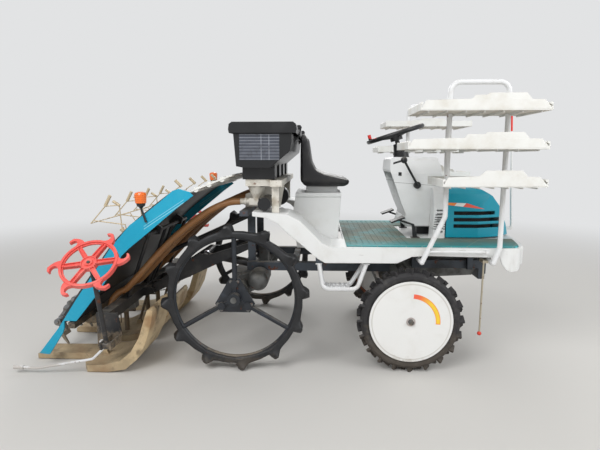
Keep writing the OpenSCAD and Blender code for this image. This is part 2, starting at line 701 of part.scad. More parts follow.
// Front sighting pole on its bracket
module guide_pole() color(white) at_row() {
    // The bracket's back follows the slope of the bonnet's nose
    nose = bonnet_side[1] + (bonnet_side[2] - bonnet_side[1]) * 0.2;
    slope = (bonnet_side[2] - bonnet_side[1]) / (bonnet_side[2][1] - bonnet_side[1][1]);
    back = nose + [seat_gap, 0];
    translate([pole_foot[0], 0, pole_foot[1] - 10]) cylinder(r = pole_r, h = 24);
    rod([pole_foot[0], 0, pole_foot[1]], [1741, 0, 1000], 7);
    rod([1741, 0, 1000], [1713, 0, 1508], 6);
    side_plate([back, [pole_foot[0] - 4, back[1]], [pole_foot[0] - 4, back[1] + 18], back + 18 * slope], -14, 28);
}

// Racks and trays

rack_y = deck_w / 2 + 20;
rack_r = rack_tube_d / 2;
rack_rear_x = 1159;
rack_front_x = 1463;
rack_foot = deck_w / 2 - 60;
rack_feet = [1044, 1434];
rack_foot_z = 635;
// Columns: rear x, front x, underside z
trays = [[1091, 1609, tray_z], [911, 1604, tray_z + tray_step], [967, 1604, tray_z + 2 * tray_step]];

module rack_frames() color(white) at_row() both_sides() {
    translate([0, rack_y, 0]) rotate([90, 0, 0])
        bent_tube([[rack_feet[0], rack_foot_z], [rack_rear_x, 891], [rack_rear_x, 1602],
            [rack_front_x, 1602], [rack_front_x, 720], [rack_feet[1], rack_foot_z]], rack_r, 52);
    for (x = rack_feet) {
        translate([x, rack_y, rack_foot_z]) sphere(rack_r + 0.4);
        cross_bar([x, rack_foot_z], rack_foot, rack_y, rack_r);
    }
    // Grab rod along the deck's skirt, with its stay
    rod([1072, rack_y, 696], [1396, rack_y, 696], 6);
    translate([1396, rack_y - 20, 696]) rotate([-90, 0, 0]) cylinder(r = 10, h = 31);
}

// Seedling tray with lips at its ends, a wall on the machine's side, a guard outside and ribs below
module tray(length) {
    t = 4;
    half = tray_w / 2;
    block([0, -half, 0], [length, half, t]);
    block([0, -half, 0], [length, -half + t, tray_h]);
    block([0, half - t, 0], [length, half, 16]);
    for (x = [0, length - t]) block([x, -half, 0], [x + t, half, tray_h - 8]);
    for (x = [7, length - 7]) cross_bar([x, tray_h - 8], -half, half, 7);
    side_plate([[length - 350, 0], [length - 110, 0], [length - 100, 52], [length - 128, 84], [length - 306, 84],
        [length - 338, 56]], half - t, t);
    for (i = [0:6]) block([40 + i * (length - 90) / 6, -half + 20, -9], [46 + i * (length - 90) / 6, half - 12, 1]);
}

module rack_trays() color(white) at_row() both_sides() for (row = trays) difference() {
    translate([row[0], rack_y + 20, row[2]]) tray(row[1] - row[0]);
    for (x = [rack_rear_x, rack_front_x]) translate([x, rack_y, row[2] - 20]) {
        cylinder(r = rack_r + seat_gap, h = 200);
    }
}

module side_rods() color(tan_colour) at_row() {
    block([1390, -544, 626], [1419, -486, 640]);
    rod([1398, -534, 632], [1396, -534, 222], 5);
    translate([1396, -534, 212]) sphere(12);
}

// Hopper and feed

hopper_half = hopper_w / 2;
rows = [-1.5, -0.5, 0.5, 1.5] * row_pitch;
hopper_side = [[17, 1164], [60, 1156], [203, 1154], [313, 1247], [322, 1300], [322, hopper_z], [4, hopper_z]];
lid_hinge = [358, hopper_z + lid_h - 12];
lid_pin_r = 5;
lid_ear_t = 20;
rail_top = 1090;
duct = [164, 952];
duct_r = 37;

module hopper() color(dark) at_row() difference() {
    union() {
        side_plate(hopper_side, -hopper_half, hopper_w);
        for (y = rows) block([41, y - 66, rail_top], [223, y + 66, 1170]);
        // Ears and pins that carry the lid
        both_sides() {
            side_plate([[318, 1300], [352, 1330], [lid_hinge[0] + 8, lid_hinge[1]], [lid_hinge[0] + 4, lid_hinge[1] + 8],
                [lid_hinge[0] - 4, lid_hinge[1] + 8], [352, 1360], [344, hopper_z - 6], [318, hopper_z - 10]],
                300 - lid_ear_t / 2, lid_ear_t);
            cross_bar(lid_hinge, 300 - lid_ear_t, 300 + lid_ear_t, lid_pin_r);
        }
    }
    side_plate(inset(hopper_side, hopper_wall), -hopper_half + hopper_wall, hopper_w - 2 * hopper_wall);
    block([4 + hopper_wall, -hopper_half + hopper_wall, hopper_z - 20],
        [322 - hopper_wall, hopper_half - hopper_wall, hopper_z + 10]);
    for (y = rows) block([70, y - 46, rail_top - 1], [170, y + 46, 1180]);
}

module hopper_lid() color(dark) at_row() {
    x0 = -16;
    x1 = 346;
    top = hopper_z + lid_h;
    side = [[x0, hopper_z + seat_gap], [x1, hopper_z + seat_gap], [x1 + 4, hopper_z + 20], [x1, top - 12],
        [x1 - 16, top], [x0 + 16, top], [x0, top - 12], [x0 - 4, hopper_z + 20]];
    half = hopper_half + 16;
    difference() {
        side_plate(side, -half, 2 * half);
        for (drop = [0, -20]) translate([0, 0, drop]) side_plate(inset(side, 5), -half + 5, 2 * half - 10);
    }
    for (i = [-4:4]) block([20, i * 120 - 6, top - 1], [310, i * 120 + 6, top + 3]);
    both_sides() difference() {
        for (y = [300 - lid_ear_t, 300 + lid_ear_t / 2 + 1]) side_plate([[340, top - 24], [lid_hinge[0], top - 24],
            [lid_hinge[0] + 9, lid_hinge[1]], [lid_hinge[0], top], [340, top]], y, lid_ear_t / 2 - 1);
        cross_bar(lid_hinge, 200, 400, lid_pin_r + fit);
    }
}

module feed_units() color(white) at_row() {
    difference() {
        union() {
            block([200, -deck_w / 2, 1051], [265, deck_w / 2, 1086]);
            for (y = rows) {
                block([56, y - 60, 1051], [201, y + 60, rail_top]);
                translate([112, y, 978]) cylinder(r1 = 20, r2 = 54, h = 73.5);
                block([70, y - 28, 942], [124, y + 28, 979]);
                translate([15, y, 959]) rotate([0, 90, 0]) cylinder(r = 17, h = 56);
                translate([40, y, 959]) rotate([0, 90, 0]) cylinder(r = 22, h = 12);
            }
            both_sides() {
                side_plate([[20, 910], [90, 916], [236, 912], [262, 1052], [190, 1052], [22, 990]], 296, 8);
                side_plate([[205, 904], [245, 901.4], [245, 1052], [205, 1052]], 490, 26);
            }
        }
        cross_bar(duct, -600, 600, duct_r + seat_gap);
        for (y = rows) {
            translate([112, y, 982]) cylinder(r1 = 17, r2 = 50, h = 66);
            block([70, y - 46, 1046], [170, y + 46, 1100]);
        }
    }
}

module air_duct() color(dark) at_row() {
    cross_bar(duct, -540, 540, duct_r);
    for (y = rows) translate([124 + seat_gap, y, 959]) rotate([0, 90, 0]) cylinder(r = 14, h = 20);
    cross_bar([206, 958], -46, 46, 62);
    cross_bar([206, 958], 46, 96, 34);
}

hose_r = 20;
boot_x = -812;
// Route of the outermost right hose from its feed unit to its boot; the others only differ in Y
hose_route = [[15, 959], [-40, 955], [-99, 937], [-160, 908], [-213, 876], [-310, 805], [-403, 728],
    [-500, 632], [-594, 531], [-655, 466], [-705, 416], [-754, 392], [-790, 354], [-808, 310], [boot_x, 262]];
hose_sides = 10;
function hose_dir(p, i) = unit(p[min(i + 1, len(p) - 1)] - p[max(i - 1, 0)]);
module hose(y0, y1) {
    p = hose_route;
    n = len(p);
    pts = [for (i = [0:n - 1], k = [0:hose_sides - 1])
        let (d = i == 0 ? [-1, 0] : i == n - 1 ? [0, -1] : hose_dir(p, i), a = 360 * k / hose_sides,
            y = y0 + (y1 - y0) * (1 - cos(180 * i / (n - 1))) / 2)
        [p[i][0] + hose_r * sin(a) * d[1], y + hose_r * cos(a), p[i][1] - hose_r * sin(a) * d[0]]];
    faces = concat([[for (k = [0:hose_sides - 1]) k]],
        [[for (k = [hose_sides - 1:-1:0]) (n - 1) * hose_sides + k]],
        [for (i = [0:n - 2], k = [0:hose_sides - 1]) let (a = i * hose_sides, b = (k + 1) % hose_sides)
            [a + b, a + k, a + hose_sides + k, a + hose_sides + b]]);
    polyhedron(pts, faces);
}
boot_offset = 40;
function boot_y(y) = y + (abs(y) > row_pitch ? -1 : 1) * sign(y) * boot_offset;
module fertiliser_hoses() color(tan_colour) at_row() for (y = rows) hose(y, boot_y(y));

// Lift linkage

hinge_b = hinge_a + link_len * [-cos(link_fall), -sin(link_fall)];
hinge_b_top = hinge_b + [0, link_rise];
cyl_eye = [-285, 568];
link_t = 24;

module lower_links() color(dark) at_row() {
    both_sides() difference() {
        union() {
            for (p = [hinge_a, hinge_b]) cross_bar(p, link_y - link_t / 2, link_y + link_t / 2, 26);
            side_plate([hinge_a + [-8, -24], hinge_a + [8, 20], cyl_eye + [40, 12], cyl_eye + [-30, 16],
                hinge_b + [-12, 20], hinge_b + [10, -24], [-300, 470]], link_y - link_t / 2, link_t);
        }
        for (p = [hinge_a, hinge_b]) cross_bar(p, 100, 220, link_pin_r + fit);
    }
    difference() {
        cross_bar(cyl_eye, -link_y, link_y, 16);
        cross_bar(cyl_eye, cyl_y - 19, cyl_y + 19, 30);
    }
    cross_bar(cyl_eye, cyl_y - 20, cyl_y + 20, cyl_eye_pin_r);
}
cyl_eye_pin_r = 9;
cyl_drift = 5;

module drive_shaft() color(dark) at_row() {
    along = unit(hinge_b - hinge_a);
    a = hinge_a + 20 * along;
    b = hinge_b - 20 * along;
    m = hinge_a + 0.52 * (hinge_b - hinge_a);
    rod([a[0], 0, a[1]], [m[0], 0, m[1]], 19);
    rod([a[0], 0, a[1]], [b[0], 0, b[1]], 14);
    for (p = [hinge_a, hinge_b]) translate([p[0], 0, p[1]]) sphere(24);
}

module top_link() color(dark) at_row() difference() {
    union() {
        rod([hinge_top[0], 0, hinge_top[1]], [hinge_b_top[0], 0, hinge_b_top[1]], 15);
        for (p = [hinge_top, hinge_b_top]) cross_bar(p, -22, 22, 28);
    }
    for (p = [hinge_top, hinge_b_top]) cross_bar(p, -50, 50, top_pin_r + fit);
}

cyl_dir = unit(cyl_eye - cyl_pin);
cyl_tilt = atan2(cyl_dir[0], cyl_dir[1]);
rod_r = 12;
barrel_len = 236;
module on_cylinder(from) { translate([from[0], cyl_y, from[1]]) rotate([0, cyl_tilt, 0]) children(); }
module cylinder_barrel() color(dark) at_row() {
    bore = rod_r + fit;
    on_cylinder(cyl_pin) rotate_extrude() polygon([[0, 20], [15, 20], [15, 32], [27, 36],
        [27, barrel_len - 6], [24, barrel_len], [bore, barrel_len], [bore, 60], [0, 60]]);
    difference() {
        cross_bar(cyl_pin, cyl_y - 15, cyl_y + 15, 24);
        cross_bar(cyl_pin, cyl_y - 40, cyl_y + 40, link_pin_r + fit);
    }
}
module cylinder_rod() color(steel) at_row() difference() {
    span = norm(cyl_eye - cyl_pin);
    union() {
        on_cylinder(cyl_pin) translate([0, 0, 74]) cylinder(r = rod_r, h = span - 74 - 12);
        cross_bar(cyl_eye, cyl_y - 15, cyl_y + 15, 23);
    }
    cross_bar(cyl_eye, cyl_y - 40, cyl_y + 40, cyl_eye_pin_r + cyl_drift);
}

// Planting unit

beam = [[-750, 300], [-690, 360]];
beam_half = 690;
rotor = [-1100, 260];
case_half = 30;
case_top = 232;
case_ys = [-1, 1] * row_pitch;
rail_x = [-974, -934];
floor_slope = 53.5;
floor_line = [[-985, 296], [-910, 397.3], [-830, 505.4], [-750, 613.5], [-680, 708], [-640, 752], [-590, 800],
    [-520, 860], [-430, 931], [-335, 1002]];
wall_half = 590;
wall_t = 8;
panel_y = wall_half + wall_t;
panel_t = 10;
marker_z = 217;
marker_x = -659;
marker_y = 800;
marker_pin_r = 10;
star_y = 902;
star_x = -673;
star_z = 688;

float_ys = [-520, 0, 520];
float_pivot = [-800, 66];
float_pin_r = 6;

module planter_frame() color(dark) at_row() {
    // Arms down to the pivots of the floats
    for (y = float_ys) difference() {
        union() {
            rod([-722, y, 302], [float_pivot[0], y, float_pivot[1]], 9);
            cross_bar(float_pivot, y - 10, y + 10, 13);
        }
        cross_bar(float_pivot, y - 20, y + 20, float_pin_r + fit);
    }
    block([beam[0][0], -beam_half, beam[0][1]], [beam[1][0], beam_half, beam[1][1]]);
    both_sides() {
        // Ears for the lower links and the mast for the top link
        side_plate([[-692, 302], [-640, 314], [-616, 330], [-616, 350], [-640, 366], [-692, 360]], link_y + 18, 16);
        cross_bar(hinge_b, link_y - 14, link_y + 20, link_pin_r);
        side_plate([[-748, 358], [-692, 358], [hinge_b_top[0] + 26, hinge_b_top[1] - 6],
            [hinge_b_top[0] + 18, hinge_b_top[1] + 22], [hinge_b_top[0] - 18, hinge_b_top[1] + 22],
            [-690, 470]], 26, 10);
        // Side arms that carry the marker pivots
        side_plate([[-760, 150], [-640, 196], [-620, 240], [-640, 360], [-760, 360]], beam_half - 1, 9);
        for (x = [marker_x - 31, marker_x + 19])
            block([x, beam_half + 6, marker_z - 20], [x + 12, marker_y + 22, marker_z + 20]);
        translate([marker_x - 33, marker_y, marker_z]) rotate([0, 90, 0]) cylinder(r = marker_pin_r, h = 66);
        // Posts and upper guide of the seedling table
        for (y = [70, 385]) rod([-706, y, 358], [guide[0] + 4, y, guide[1] - 6], 11);
    }
    cross_bar(hinge_b_top, -34, 34, top_pin_r);
    translate([-690, 0, hinge_b[1]]) rotate([0, 90, 0]) cylinder(r = 14, h = 50 - 24 - seat_gap);
    cross_bar(guide, -410, 410, guide_r);
    // Rail below the table, notched at each row
    difference() {
        side_plate([[rail_x[0], case_top], [rail_x[1], case_top], [rail_x[1], 268], [rail_x[0], 268]], -610, 1220);
        for (y = rows) block([rail_x[0] - 1, y - 12, case_top - 1], [rail_x[0] + 22, y + 12, 290]);
    }
}
guide_r = 13;
guide = [-567, 746];

module planting_cases() color(cast) at_row() for (y = case_ys) {
    side_plate([[-690, 262], [-690, 299.9], [-752, 299.9], [-928, case_top], [-1000, case_top], [-1070, 288],
        [-1100, 298], [-1132, 280], [-1136, 244], [-1112, 224], [-1060, 206], [-1010, 160], [-960, 158]],
        y - case_half, 2 * case_half);
    cross_bar(rotor, y - case_half - 44, y + case_half + 44, 12);
}

// Rotary case with its two lobes, on both ends of the rotor shaft, and the pins of the planting arms
lobe_dir = [0.6, 0.8];
lobe_y0 = case_half + 3;
lobe_t = 38;
arm_pin_r = 9;
module planting_rotor(y) color(steel) at_row() for (s = [-1, 1]) {
    z0 = lobe_y0;
    translate([rotor[0], y, rotor[1]]) rotate([-90 * s, 0, 0]) difference() {
        union() {
            translate([0, 0, z0]) cylinder(r = 38, h = lobe_t);
            for (d = [-1, 1]) {
                c = d * rotor_r * [lobe_dir[0], -s * lobe_dir[1]];
                translate([c[0], c[1], z0]) cylinder(r = 30, h = lobe_t);
                translate([c[0], c[1], z0]) cylinder(r = arm_pin_r, h = lobe_t + 68);
            }
            rotate([0, 0, -s * atan2(lobe_dir[1], lobe_dir[0])])
                translate([-rotor_r, -28, z0]) cube([2 * rotor_r, 56, lobe_t]);
        }
        translate([0, 0, z0 - 1]) cylinder(r = 12 + fit, h = 42 - 1);
    }
}

// Planting arm of one lobe: body, claw and pusher, on both ends of the rotor
arm_dir = [0.5, -0.866];
module planting_arms(y, d) color([0.72, 0.70, 0.60]) at_row() for (s = [-1, 1]) {
    pivot = rotor + d * rotor_r * lobe_dir;
    tip = pivot + claw_reach * arm_dir;
    inner = lobe_y0 + lobe_t + 4;
    y0 = s > 0 ? y + inner : y - inner - 56;
    difference() {
        union() {
            cross_bar(pivot, y0, y0 + 56, 22);
            side_plate([pivot + [-12, 4], pivot + [-14, -10], pivot + 96 * arm_dir + [-11, -4],
                pivot + 96 * arm_dir + [9, 6], pivot + [16, 10]], y0 + 14, 34);
            side_plate([pivot + 90 * arm_dir + [-8, -6], tip + [-3, -2], tip + [3, 2], pivot + 90 * arm_dir + [8, 5]],
                y + s * row_pitch / 2 - 6, 12);
            side_plate([pivot + 70 * arm_dir + [-9, -5], pivot + 96 * arm_dir + [-9, -5],
                pivot + 96 * arm_dir + [9, 5], pivot + 70 * arm_dir + [9, 5]],
                min(y + s * row_pitch / 2 - 6, y0 + 14), abs(s * row_pitch / 2) - inner - 2);
        }
        cross_bar(pivot, y0 - 10, y0 + 90, arm_pin_r + fit);
    }
}

// Floats
side_float = [[-1230, 6], [-1216, 4], [-720, 4], [-620, 22], [-548, 84], [-498, 180], [-464, 300], [-455, 356],
    [-470, 372], [-486, 366], [-502, 318], [-536, 210], [-584, 126], [-650, 72], [-740, 46], [-1216, 40], [-1230, 32]];
mid_float = [[-1216, 6], [-1200, 4], [-760, 4], [-660, 20], [-580, 80], [-520, 180], [-504, 250], [-516, 268],
    [-536, 262], [-556, 200], [-610, 116], [-690, 66], [-780, 46], [-1200, 40], [-1216, 32]];
module floats() color([0.85, 0.80, 0.70]) at_row() {
    for (y = float_ys) {
        for (s = [-18, 11]) side_plate([float_pivot + [-24, -28], float_pivot + [24, -28], float_pivot + [9, 8],
            float_pivot + [-9, 8]], y + s, 7);
        cross_bar(float_pivot, y - 14, y + 14, float_pin_r);
    }
    both_sides() intersection() {
        side_plate(side_float, 330, 360);
        linear_extrude(500) polygon([[-1240, 396], [-1225, 380], [-900, 380], [-860, 350], [-800, 342], [-440, 352],
            [-440, 660], [-560, 682], [-840, 682], [-870, 640], [-890, 540], [-930, 520], [-1225, 520],
            [-1240, 504]]);
    }
    intersection() {
        side_plate(mid_float, -250, 500);
        linear_extrude(500) polygon([[-1220, -90], [-1220, 90], [-900, 100], [-850, 240], [-560, 250], [-500, 190],
            [-500, -190], [-560, -250], [-850, -240], [-900, -100]]);
    }
}

// Boots behind the floats' noses that lead the fertiliser into the soil, and the float carriers
module fertiliser_boots() color(dark) at_row() {
    for (y = rows) translate([boot_x, boot_y(y), 0]) {
        translate([0, 0, 240]) cylinder(r = 22, h = 22);
        translate([0, 0, 66]) cylinder(r = 16, h = 180);
        block([60, -5, 200], [64, 5, 299.9]);
        block([-4, -5, 196], [64, 5, 206]);
    }
}

// Guard tubes beside the planting unit, with thick sleeves at their rear ends
module planter_guards() color(white) at_row() both_sides() {
    translate([0, 706, 0]) rotate([90, 0, 0])
        bent_tube([[-1204, 36], [-1111, 32], [-792, 93], [-730, 153], [-715, 190]], 7, 30);
    rod([-1250, 706, 37], [-1196, 706, 35], 12);
    block([-740, 699, 176], [-690, 720, 206]);
}

// Seedling table

module table_floor_strip(t, drop) {
    polygon(strip([for (p = floor_line) p + drop * [0.804, -0.595]], t));
}
module seedling_table() color([0.82, 0.84, 0.84]) at_row() {
    in_xz(wall_half + wall_t) linear_extrude(2 * (wall_half + wall_t)) table_floor_strip(table_floor_t, 0);
    for (y = [-wall_half - wall_t, -row_pitch - 10, -10, row_pitch - 10, wall_half])
        in_xz(y + (abs(y + 10) > 400 || y == wall_half ? wall_t : 20))
            linear_extrude(abs(y + 10) > 400 || y == wall_half ? wall_t : 20) table_floor_strip(34, -24);
    // Hangers on the guide tube and the sliding foot on the lower rail
    for (y = [-240, 220]) difference() {
        side_plate([[-640, 738], [-572, 800], [-530, 770], [-545, 726], [-590, 724]], y, 20);
        cross_bar(guide, y - 5, y + 25, guide_r + slip);
    }
    side_plate([[rail_x[0] + 4, 268 + slip], [rail_x[1] - 6, 268 + slip], [-940, 330], [-968, 300]],
        -wall_half - wall_t, 2 * (wall_half + wall_t));
}

// The neck of the panel passes over the fixed rail as the table slides
panel_outline = [[-1160, 77], [-1099, 71], [-1012, 200], [-1000, 232], [-997, 276], [-925, 276], [-780, 453], [-638, 663],
    [-590, 708], [-485, 792], [-395, 866], [-301, 943], [-218, 1004], [-239, 1024], [-297, 1042], [-332, 1031],
    [-403, 972], [-492, 903], [-582, 839], [-699, 709], [-915, 409], [-1037, 229]];
module table_panels() color(teal) at_row() both_sides() side_plate(panel_outline, panel_y, panel_t);

module table_extension() color(white) at_row() {
    line = [[-325, 1008], [-237, 1030], [-4, 1120]];
    in_xz(panel_y) linear_extrude(2 * panel_y) polygon(strip(line, 8));
    // Moulded ribs across it
    for (p = [[-206, 1036], [-133, 1064], [-60, 1092]]) cross_bar(p, -panel_y + 1, panel_y - 1, 14);
}

// Wire bent through points in 3-D. Every other stretch is a hair thinner and ends inside the next.
module wire(points, r) {
    for (i = [1:len(points) - 1]) let (u = unit(points[i] - points[i - 1]), thin = i % 2 == 0)
        rod(points[i - 1] - (thin ? 0 : 2) * u, points[i] + (thin ? 0 : 2) * u, thin ? r - 0.4 : r);
}

// Foot that stands on a stretch of the table's floor, and the top of it
function on_floor(i, share) = floor_line[i] + share * (floor_line[i + 1] - floor_line[i]);
function off_floor(i) = let (u = unit(floor_line[i + 1] - floor_line[i])) [-u[1], u[0]];
function foot_top(i, share, h) = on_floor(i, share) + h * off_floor(i);
module foot(i, share, y, r, h) {
    p = on_floor(i, share);
    n = off_floor(i);
    translate([p[0], y, p[1]]) rotate([0, atan2(n[0], n[1]), 0]) translate([0, 0, 0.2]) cylinder(r = r, h = h);
}

// Spring wires that press the seedling mats down on the table, one set to a row
module mat_holders() color([0.86, 0.86, 0.80]) at_row() for (y = rows) {
    right = y - 110;
    left = y + 110;
    main_foot = foot_top(5, 0.5, 44);
    low_foot = foot_top(3, 0.85, 6);
    high_foot = foot_top(8, 0.5, 26);
    foot(5, 0.5, right, 13, 50);
    foot(5, 0.5, left, 13, 50);
    foot(3, 0.85, right, 10, 9);
    foot(8, 0.5, y, 12, 30);
    wire([[main_foot[0], right, main_foot[1]], [-655, right, 945], [-736, right, 939], [-824, right, 841],
        [-824, left, 841], [-688, left, 877], [main_foot[0], left, main_foot[1]]], 3.2);
    wire([[-810, right, 857], [-627, right, 835], [-622, right, 812], [low_foot[0], right, low_foot[1]]], 3.2);
    rod([-736, right, 939], [-704, right, 1000], 9);
    rod([-690, right, 968], [-652, right, 943], 8);
    wire([[high_foot[0], y, high_foot[1]], [-386, y, 1012], [-332, y, 1048]], 3.2);
    rod([-328, y, 1044], [-364, y, 1080], 9);
}

module lamps() color(amber) at_row() {
    for (row = [[-1, -509, 993, -485, 856], [1, -385, 1060, -370, 960]]) {
        y = row[0] * (panel_y + panel_t + 6 + seat_gap);
        rod([row[1], y, row[2] - 30], [row[3], y, row[4]], 6);
        translate([row[1], y, row[2] - 36]) cylinder(r = 34, h = 70);
    }
}

// Markers

star_axis = [0, -cos(star_lean), sin(star_lean)];
module marker_arm() {
    knee = [star_x, -star_y, star_z] - 34 * star_axis;
    difference() {
        union() {
            rod([marker_x, -marker_y, marker_z], knee, 12);
            translate([marker_x - 18, -marker_y, marker_z]) rotate([0, 90, 0]) cylinder(r = 20, h = 36);
            translate(knee) sphere(15);
        }
        translate([marker_x - 40, -marker_y, marker_z]) rotate([0, 90, 0]) cylinder(r = marker_pin_r + fit, h = 80);
    }
    rod(knee, [star_x, -star_y, star_z] + 16 * star_axis, 8);
}

module marker_star() translate([star_x, -star_y, star_z]) rotate([90 - star_lean, 0, 0]) difference() {
    union() {
        difference() {
            translate([0, 0, -12]) cylinder(r = star_rim_r, h = 24);
            translate([0, 0, -13]) cylinder(r = star_rim_r - 20, h = 26);
        }
        translate([0, 0, -16]) cylinder(r = 36, h = 28);
        for (a = [0:60:300]) rotate([0, 0, a]) {
            translate([20, -14, -6]) cube([star_rim_r - 30, 28, 12]);
            translate([0, 0, -12]) linear_extrude(24) polygon([[star_rim_r - 10, -34], [star_rim_r + 20, -30],
                [star_reach, 22], [star_reach - 8, 34], [star_rim_r + 24, 6], [star_rim_r - 10, 26]]);
        }
    }
    translate([0, 0, -20]) cylinder(r = 8 + fit, h = 40);
}

main_frame();
front_case();
rear_case();
engine();
deck_shell();
deck_mat();
side_steps();
seat_base();
seat();
union() {
    dash_cowl();
    color(white) at_row() bonnet_ears();
}
steering_column();
controls();
rack_frames();
rack_trays();
side_rods();
hopper();
feed_units();
air_duct();
fertiliser_hoses();
union() {
    bonnet();
    color(teal) at_row() bonnet_lugs();
}
guide_pole();
hopper_lid();
steering_wheel();
pitman_arm();
track_rod();
knuckle(RIGHT);  // knuckle_right
knuckle(LEFT);  // knuckle_left
color(white) at_row() front_wheel(RIGHT);  // front_wheel_right
color(white) at_row() front_wheel(LEFT);  // front_wheel_left
color(rubber) at_row() front_tyre(RIGHT);  // front_tyre_right
color(rubber) at_row() front_tyre(LEFT);  // front_tyre_left
color(dark) at_row() rear_wheel(RIGHT);  // rear_wheel_right
color(dark) at_row() rear_wheel(LEFT);  // rear_wheel_left
color(rubber) at_row() rear_tyre(RIGHT);  // rear_tyre_right
color(rubber) at_row() rear_tyre(LEFT);  // rear_tyre_left
lower_links();
drive_shaft();
top_link();
cylinder_barrel();
cylinder_rod();
planter_frame();
planting_cases();
floats();
fertiliser_boots();
planter_guards();
seedling_table();
table_panels();
table_extension();
mat_holders();
lamps();
planting_rotor(case_ys[0]);  // rotor_right
planting_rotor(case_ys[1]);  // rotor_left
planting_arms(case_ys[0], 1);  // arms_right_a
planting_arms(case_ys[0], -1);  // arms_right_b
planting_arms(case_ys[1], 1);  // arms_left_a
planting_arms(case_ys[1], -1);  // arms_left_b
color(dark) at_row() marker_arm();  // marker_arm_right
color(dark) at_row() mirror([0, 1, 0]) marker_arm();  // marker_arm_left
color(red) at_row() marker_star();  // marker_star_right
color(red) at_row() mirror([0, 1, 0]) marker_star();  // marker_star_left
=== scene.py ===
import math

import bmesh
import bpy
from mathutils import Matrix, Vector


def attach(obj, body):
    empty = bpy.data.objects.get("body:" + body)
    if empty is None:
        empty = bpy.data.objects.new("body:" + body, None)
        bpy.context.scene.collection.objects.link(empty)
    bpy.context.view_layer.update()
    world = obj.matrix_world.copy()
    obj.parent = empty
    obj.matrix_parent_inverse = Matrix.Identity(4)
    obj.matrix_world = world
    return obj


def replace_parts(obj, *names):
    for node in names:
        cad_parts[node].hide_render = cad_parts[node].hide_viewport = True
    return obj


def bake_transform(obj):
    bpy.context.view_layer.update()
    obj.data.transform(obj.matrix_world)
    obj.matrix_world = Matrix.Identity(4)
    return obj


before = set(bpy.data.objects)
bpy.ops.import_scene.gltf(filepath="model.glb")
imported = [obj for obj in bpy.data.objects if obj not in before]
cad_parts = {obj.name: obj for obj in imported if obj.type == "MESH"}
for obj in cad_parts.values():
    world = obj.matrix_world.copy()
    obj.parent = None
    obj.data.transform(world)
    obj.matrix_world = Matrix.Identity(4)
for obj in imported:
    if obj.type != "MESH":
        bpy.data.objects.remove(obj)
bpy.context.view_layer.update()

# Cases of the front axle, the gearbox and the rear axle, and the steered knuckles below the deck.
# They are aluminium and iron castings, grey with oil and dried mud, and rough from the mould.
# Every finish of the machine is built up in coats, from the bare stuff outwards.


class Ink:
    """Number or colour on its way through the nodes of a finish, which adds and multiplies as numbers do."""

    def __init__(self, owner, socket):
        self.owner, self.socket = owner, socket

    def by(self, operation, *others):
        return self.owner.node("ShaderNodeMath", {"operation": operation}, dict(enumerate((self, *others))))

    def __add__(self, other):
        return self.by("ADD", other)

    def __sub__(self, other):
        return self.by("SUBTRACT", other)

    def __mul__(self, other):
        return self.by("MULTIPLY", other)

    def __rsub__(self, other):
        return (self * -1).by("ADD", other)

    __radd__, __rmul__ = __add__, __mul__

    def between(self, low, high):
        """Soft step from 0 at low to 1 at high, which may be the lower of the two."""
        return self.owner.node("ShaderNodeMapRange", {"interpolation_type": "SMOOTHSTEP"},
                               {0: self, 1: low, 2: high})

    def inside(self, low, high, soft=0.001):
        """1 from low to high, and 0 outside."""
        return self.between(low - soft, low + soft) * self.between(high + soft, high - soft)

    def saw(self, pitch):
        """Climbs from 0 to 1 over and over, once in each pitch."""
        return (self * (1 / pitch)).by("FRACT")


class Workbench:
    """Node tree that is filled one node at a time."""

    def __init__(self, tree):
        self.tree = tree

    def node(self, kind, settings=None, sockets=None, out=0):
        """New node with its settings and sockets, and what comes out of it."""
        made = self.tree.nodes.new(kind)
        for name, value in (settings or {}).items():
            setattr(made, name, value)
        for name, value in (sockets or {}).items():
            if isinstance(value, Ink):
                self.tree.links.new(value.socket, made.inputs[name])
            else:
                made.inputs[name].default_value = value
        return Ink(self, made.outputs[out])


def shade(red, green, blue):
    """Colour from the values that it has on a screen."""
    return tuple((c / 255 / 12.92) if c < 11 else ((c / 255 + 0.055) / 1.055) ** 2.4
                 for c in (red, green, blue)) + (1.0,)


MUD = shade(142, 126, 104)
DUST = shade(158, 150, 136)
RUST = shade(118, 62, 30)
DARK_RUST = shade(70, 38, 24)


